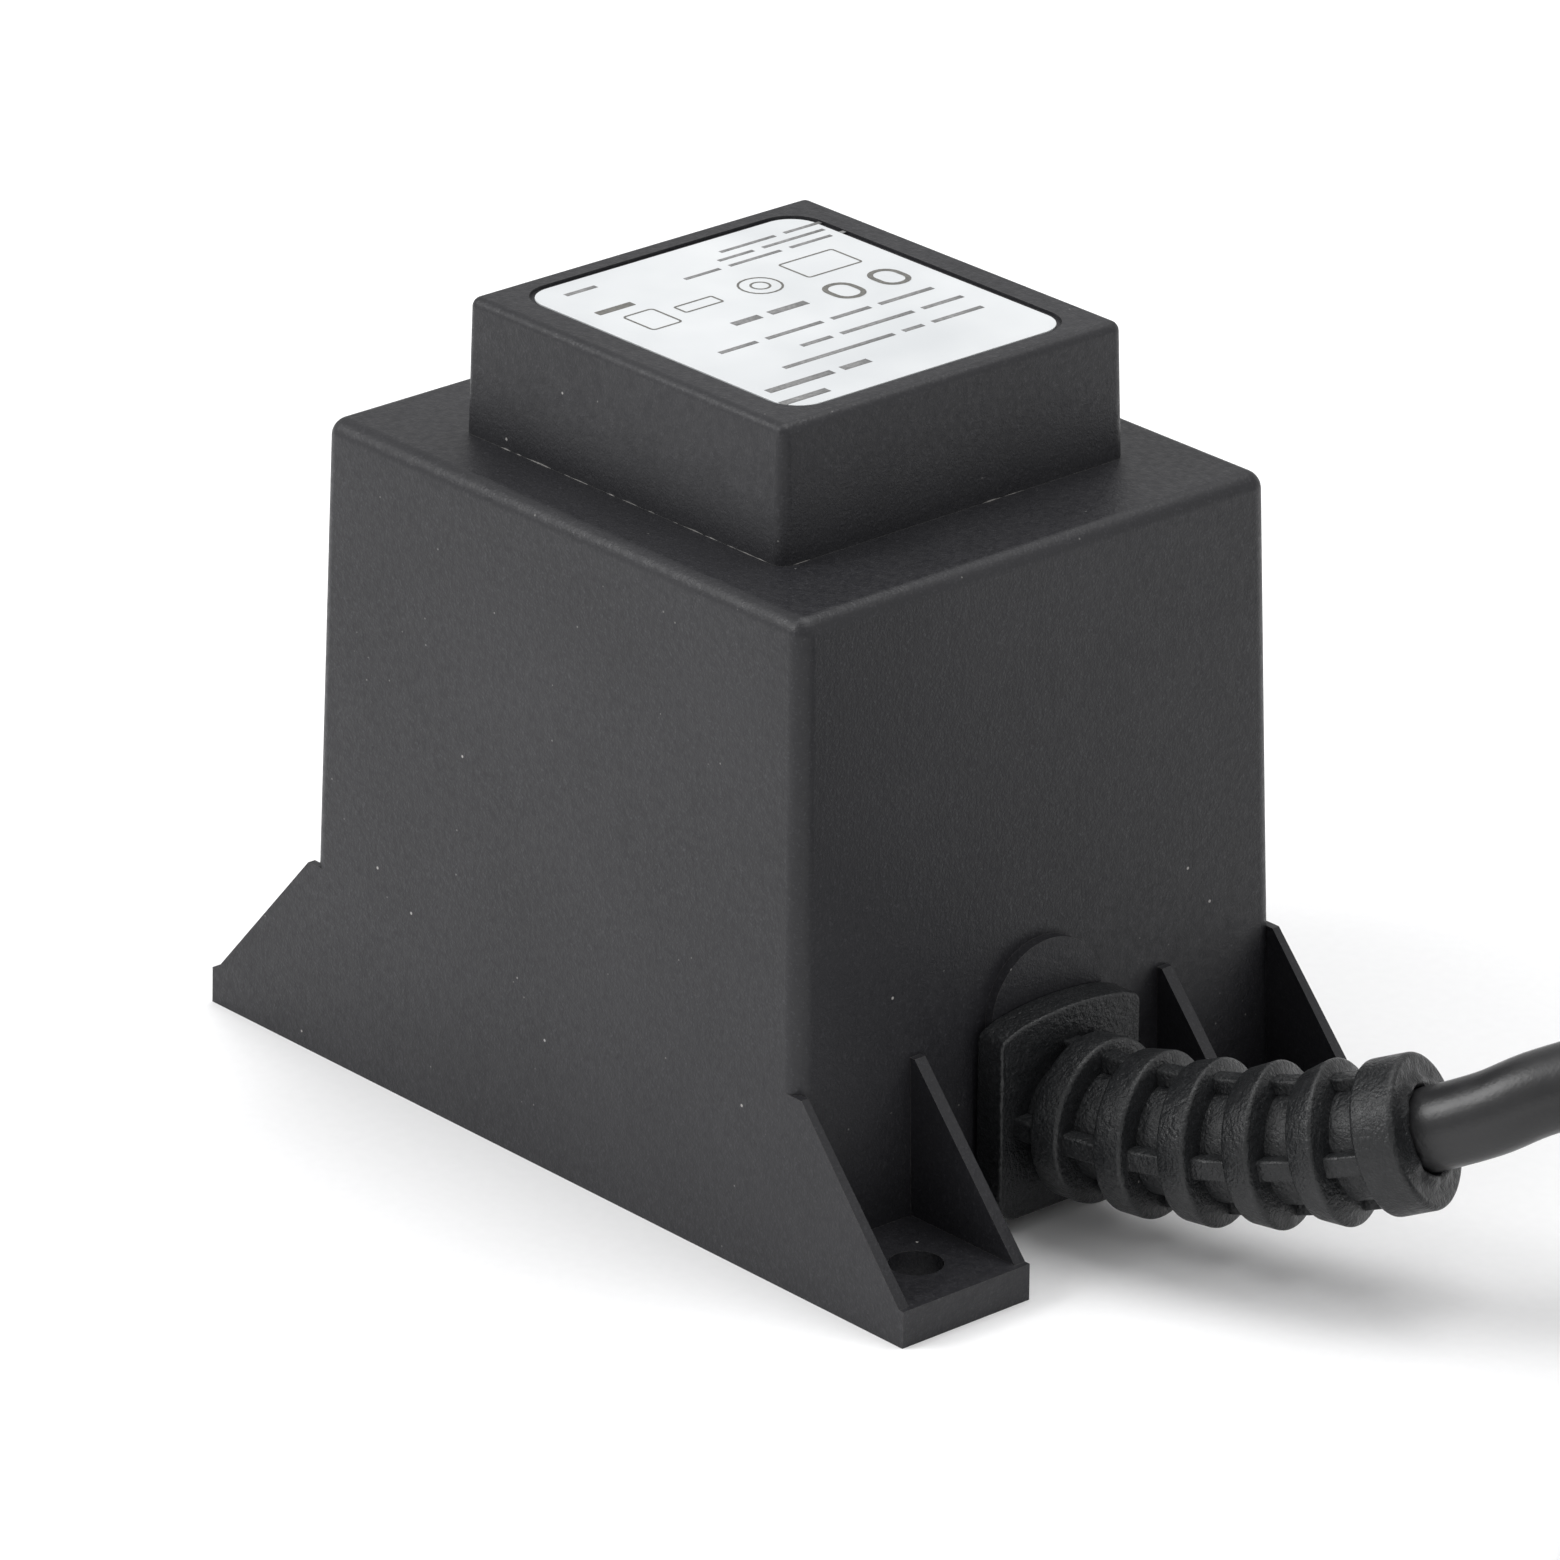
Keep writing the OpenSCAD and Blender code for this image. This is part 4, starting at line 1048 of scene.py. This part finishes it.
class BLOCK_OT_core(bpy.types.Operator):
    """Wire turns of both windings, and finishes of everything inside the block"""
    bl_idname = "block.core"
    bl_label = "Core"

    def execute(self, context):
        s = context.scene.block_core
        self.winding("primary_winding", "primary_turns", s.primary_wire)
        self.winding("secondary_winding", "secondary_turns", s.secondary_wire)
        for node, material in (
            ("e_laminations", "steel"), ("i_laminations", "steel"), ("terminal_pins", "tin"),
        ):
            dress(frame["nodes"][node], material)
        for node, name, material, slot, edge in (
            ("potting_resin", "resin_fill", "resin", "resin", 0.0),
            ("bobbin", "bobbin_moulding", "nylon", "nylon", 0.00012),
            ("primary_wrap", "primary_tape", "wrap", "wrap", 0.00005),
            ("secondary_wrap", "secondary_tape", "wrap", "wrap", 0.00005),
            ("thermal_fuse", "fuse_body", "fuse", "fuse", 0.0002),
            ("fuse_sleeve", "fuse_tube", "nylon", "nylon", 0.0001),
            ("link_wire", "link_core", "live", "live", 0.0),
            ("live_wire", "live_core", "live", "live", 0.0),
            ("neutral_wire", "neutral_core", "neutral", "neutral", 0.0),
        ):
            piece = add_mesh(name, cad_copy(node), material)
            if edge:
                round_edges(piece, edge, 2, 35.0)
            else:
                normals = piece.modifiers.new("normals", "WEIGHTED_NORMAL")
                normals.keep_sharp = True
                apply_modifiers(piece)
            keep(piece, slot, node)
        return {"FINISHED"}

    def winding(self, node, name, wire):
        """Layers of turns that fill the winding's solid."""
        low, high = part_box(node)
        middle = (low + high) / 2
        half = (high - low) / 2
        inner_x, inner_z = BOBBIN_X + wire / 2, BOBBIN_Z + wire / 2
        layers = int((half.x - BOBBIN_X) / wire)
        count = int((high.y - low.y) / wire)
        pitch = (high.y - low.y) / count
        curve = bpy.data.curves.new(name, "CURVE")
        curve.dimensions = "3D"
        for layer in range(layers):
            for k in range(count):
                y = low.y + (k + 0.5) * pitch
                grow = layer * wire
                wide, tall = 2 * (inner_x + grow) / MM, 2 * (inner_z + grow) / MM
                outline = rounded(0, 0, wide, tall, 0.4 + 0.7 * grow / MM, 3)
                line = curve.splines.new("POLY")
                line.points.add(len(outline) - 1)
                line.use_cyclic_u = True
                for p, (a, b) in zip(line.points, outline):
                    p.co = (middle.x + a * MM, y, middle.z + b * MM, 1)
        obj = place_object(name, curve)
        made = run_tree(obj, bpy.data.node_groups["wire_turns"], {
            "Wire": wire * 0.98, "Sides": 6, "Material": MATERIALS["copper"]})
        keep(made, "copper", node)


class BLOCK_OT_stage(bpy.types.Operator):
    """Pale floor, soft studio light and the camera"""
    bl_idname = "block.stage"
    bl_label = "Stage"

    def execute(self, context):
        self.camera(context)
        self.floor()
        self.lights()
        context.scene.view_settings.view_transform = "Standard"
        return {"FINISHED"}

    def camera(self, context):
        data = bpy.data.cameras.new("camera")
        cam = place_object("camera", data)
        eye = (0.658143, -0.584169, 0.407858)
        turn, roll = math.radians(48.475), math.radians(0.397)
        back = Vector((0.687928, -0.609164, 0.394554)).normalized()
        right = Vector((math.cos(turn), math.sin(turn), 0))
        up = back.cross(right)
        across = right * math.cos(roll) + up * math.sin(roll)
        upward = up * math.cos(roll) - right * math.sin(roll)
        turned = Matrix((across, upward, back)).transposed().to_4x4()
        cam.matrix_world = Matrix.Translation(eye) @ turned
        data.sensor_width = 36.0
        data.lens = 243.61
        data.clip_start, data.clip_end = 0.05, 20.0
        context.scene.camera = cam

    def floor(self):
        bm = bmesh.new()
        bmesh.ops.create_grid(bm, x_segments=8, y_segments=8, size=3.0)
        floor = add_mesh("floor", bm, smooth=False)
        mat, tree, shader, vector = new_material("floor_paper", (0.93, 0.93, 0.935), 0.9)
        grain = noise(tree, vector, 900, 2.0)
        shade(tree, shader, "Base Color", grain, [(0.3, (0.925, 0.925, 0.93)), (0.7, (0.94, 0.94, 0.945))])
        floor.data.materials.append(mat)

    def lights(self):
        world = bpy.data.worlds.new("studio")
        bpy.context.scene.world = world
        world.use_nodes = True
        sky = world.node_tree.nodes["Background"]
        sky.inputs["Color"].default_value = (1, 1, 1, 1)
        sky.inputs["Strength"].default_value = 0.62
        for name, place, size, power in (
            ("key", (-0.75, -1.05, 1.05), 0.8, 14.0),
            ("top", (0.05, 0.25, 1.3), 1.0, 10.0),
            ("fill", (1.2, 0.5, 0.6), 0.9, 1.0),
        ):
            data = bpy.data.lights.new(name, "AREA")
            data.size = size
            data.energy = power
            lamp = place_object(name, data)
            lamp.location = place
            lamp.rotation_euler = (Vector((0, 0, 0.035)) - Vector(place)).to_track_quat("-Z", "Y").to_euler()


class BLOCK_PT_panel(bpy.types.Panel):
    bl_label = "Potted Transformer"
    bl_idname = "BLOCK_PT_panel"
    bl_space_type = "VIEW_3D"
    bl_region_type = "UI"
    bl_category = "Transformer"

    def draw(self, context):
        scene = context.scene
        for title, owner, operator in (
            ("Housing", scene.block_housing, "block.housing"),
            ("Label", scene.block_label, "block.label"),
            ("Strain relief", scene.block_relief, "block.relief"),
            ("Mains lead", scene.block_lead, "block.lead"),
            ("Plug", None, "block.plug"),
            ("Core", scene.block_core, "block.core"),
            ("Stage", None, "block.stage"),
        ):
            box = self.layout.box()
            box.label(text=title)
            if owner:
                for name in owner.bl_rna.properties.keys():
                    if name not in {"rna_type", "name"}:
                        box.prop(owner, name)
            box.operator(operator)


SETTINGS = (
    ("block_housing", HousingSettings), ("block_label", LabelSettings), ("block_relief", ReliefSettings),
    ("block_lead", LeadSettings), ("block_core", CoreSettings),
)
OPERATORS = (
    BLOCK_OT_stage, BLOCK_OT_housing, BLOCK_OT_label, BLOCK_OT_relief,
    BLOCK_OT_lead, BLOCK_OT_plug, BLOCK_OT_core,
)


def register():
    for _, cls in SETTINGS:
        bpy.utils.register_class(cls)
    for name, cls in SETTINGS:
        setattr(bpy.types.Scene, name, bpy.props.PointerProperty(type=cls))
    for cls in OPERATORS + (BLOCK_PT_panel,):
        bpy.utils.register_class(cls)


def unregister():
    for cls in (BLOCK_PT_panel,) + OPERATORS[::-1]:
        bpy.utils.unregister_class(cls)
    for name, cls in SETTINGS[::-1]:
        delattr(bpy.types.Scene, name)
        bpy.utils.unregister_class(cls)


def main():
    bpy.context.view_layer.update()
    for obj in list(bpy.context.scene.objects):
        if obj.type in {"LIGHT", "CAMERA"}:
            bpy.data.objects.remove(obj)
    register()
    build_materials()
    for run in (
        bpy.ops.block.stage, bpy.ops.block.housing, bpy.ops.block.label, bpy.ops.block.relief,
        bpy.ops.block.lead, bpy.ops.block.plug, bpy.ops.block.core,
    ):
        if run() != {"FINISHED"}:
            raise RuntimeError("a piece wasn't finished")


if __name__ == "__main__":
    main()
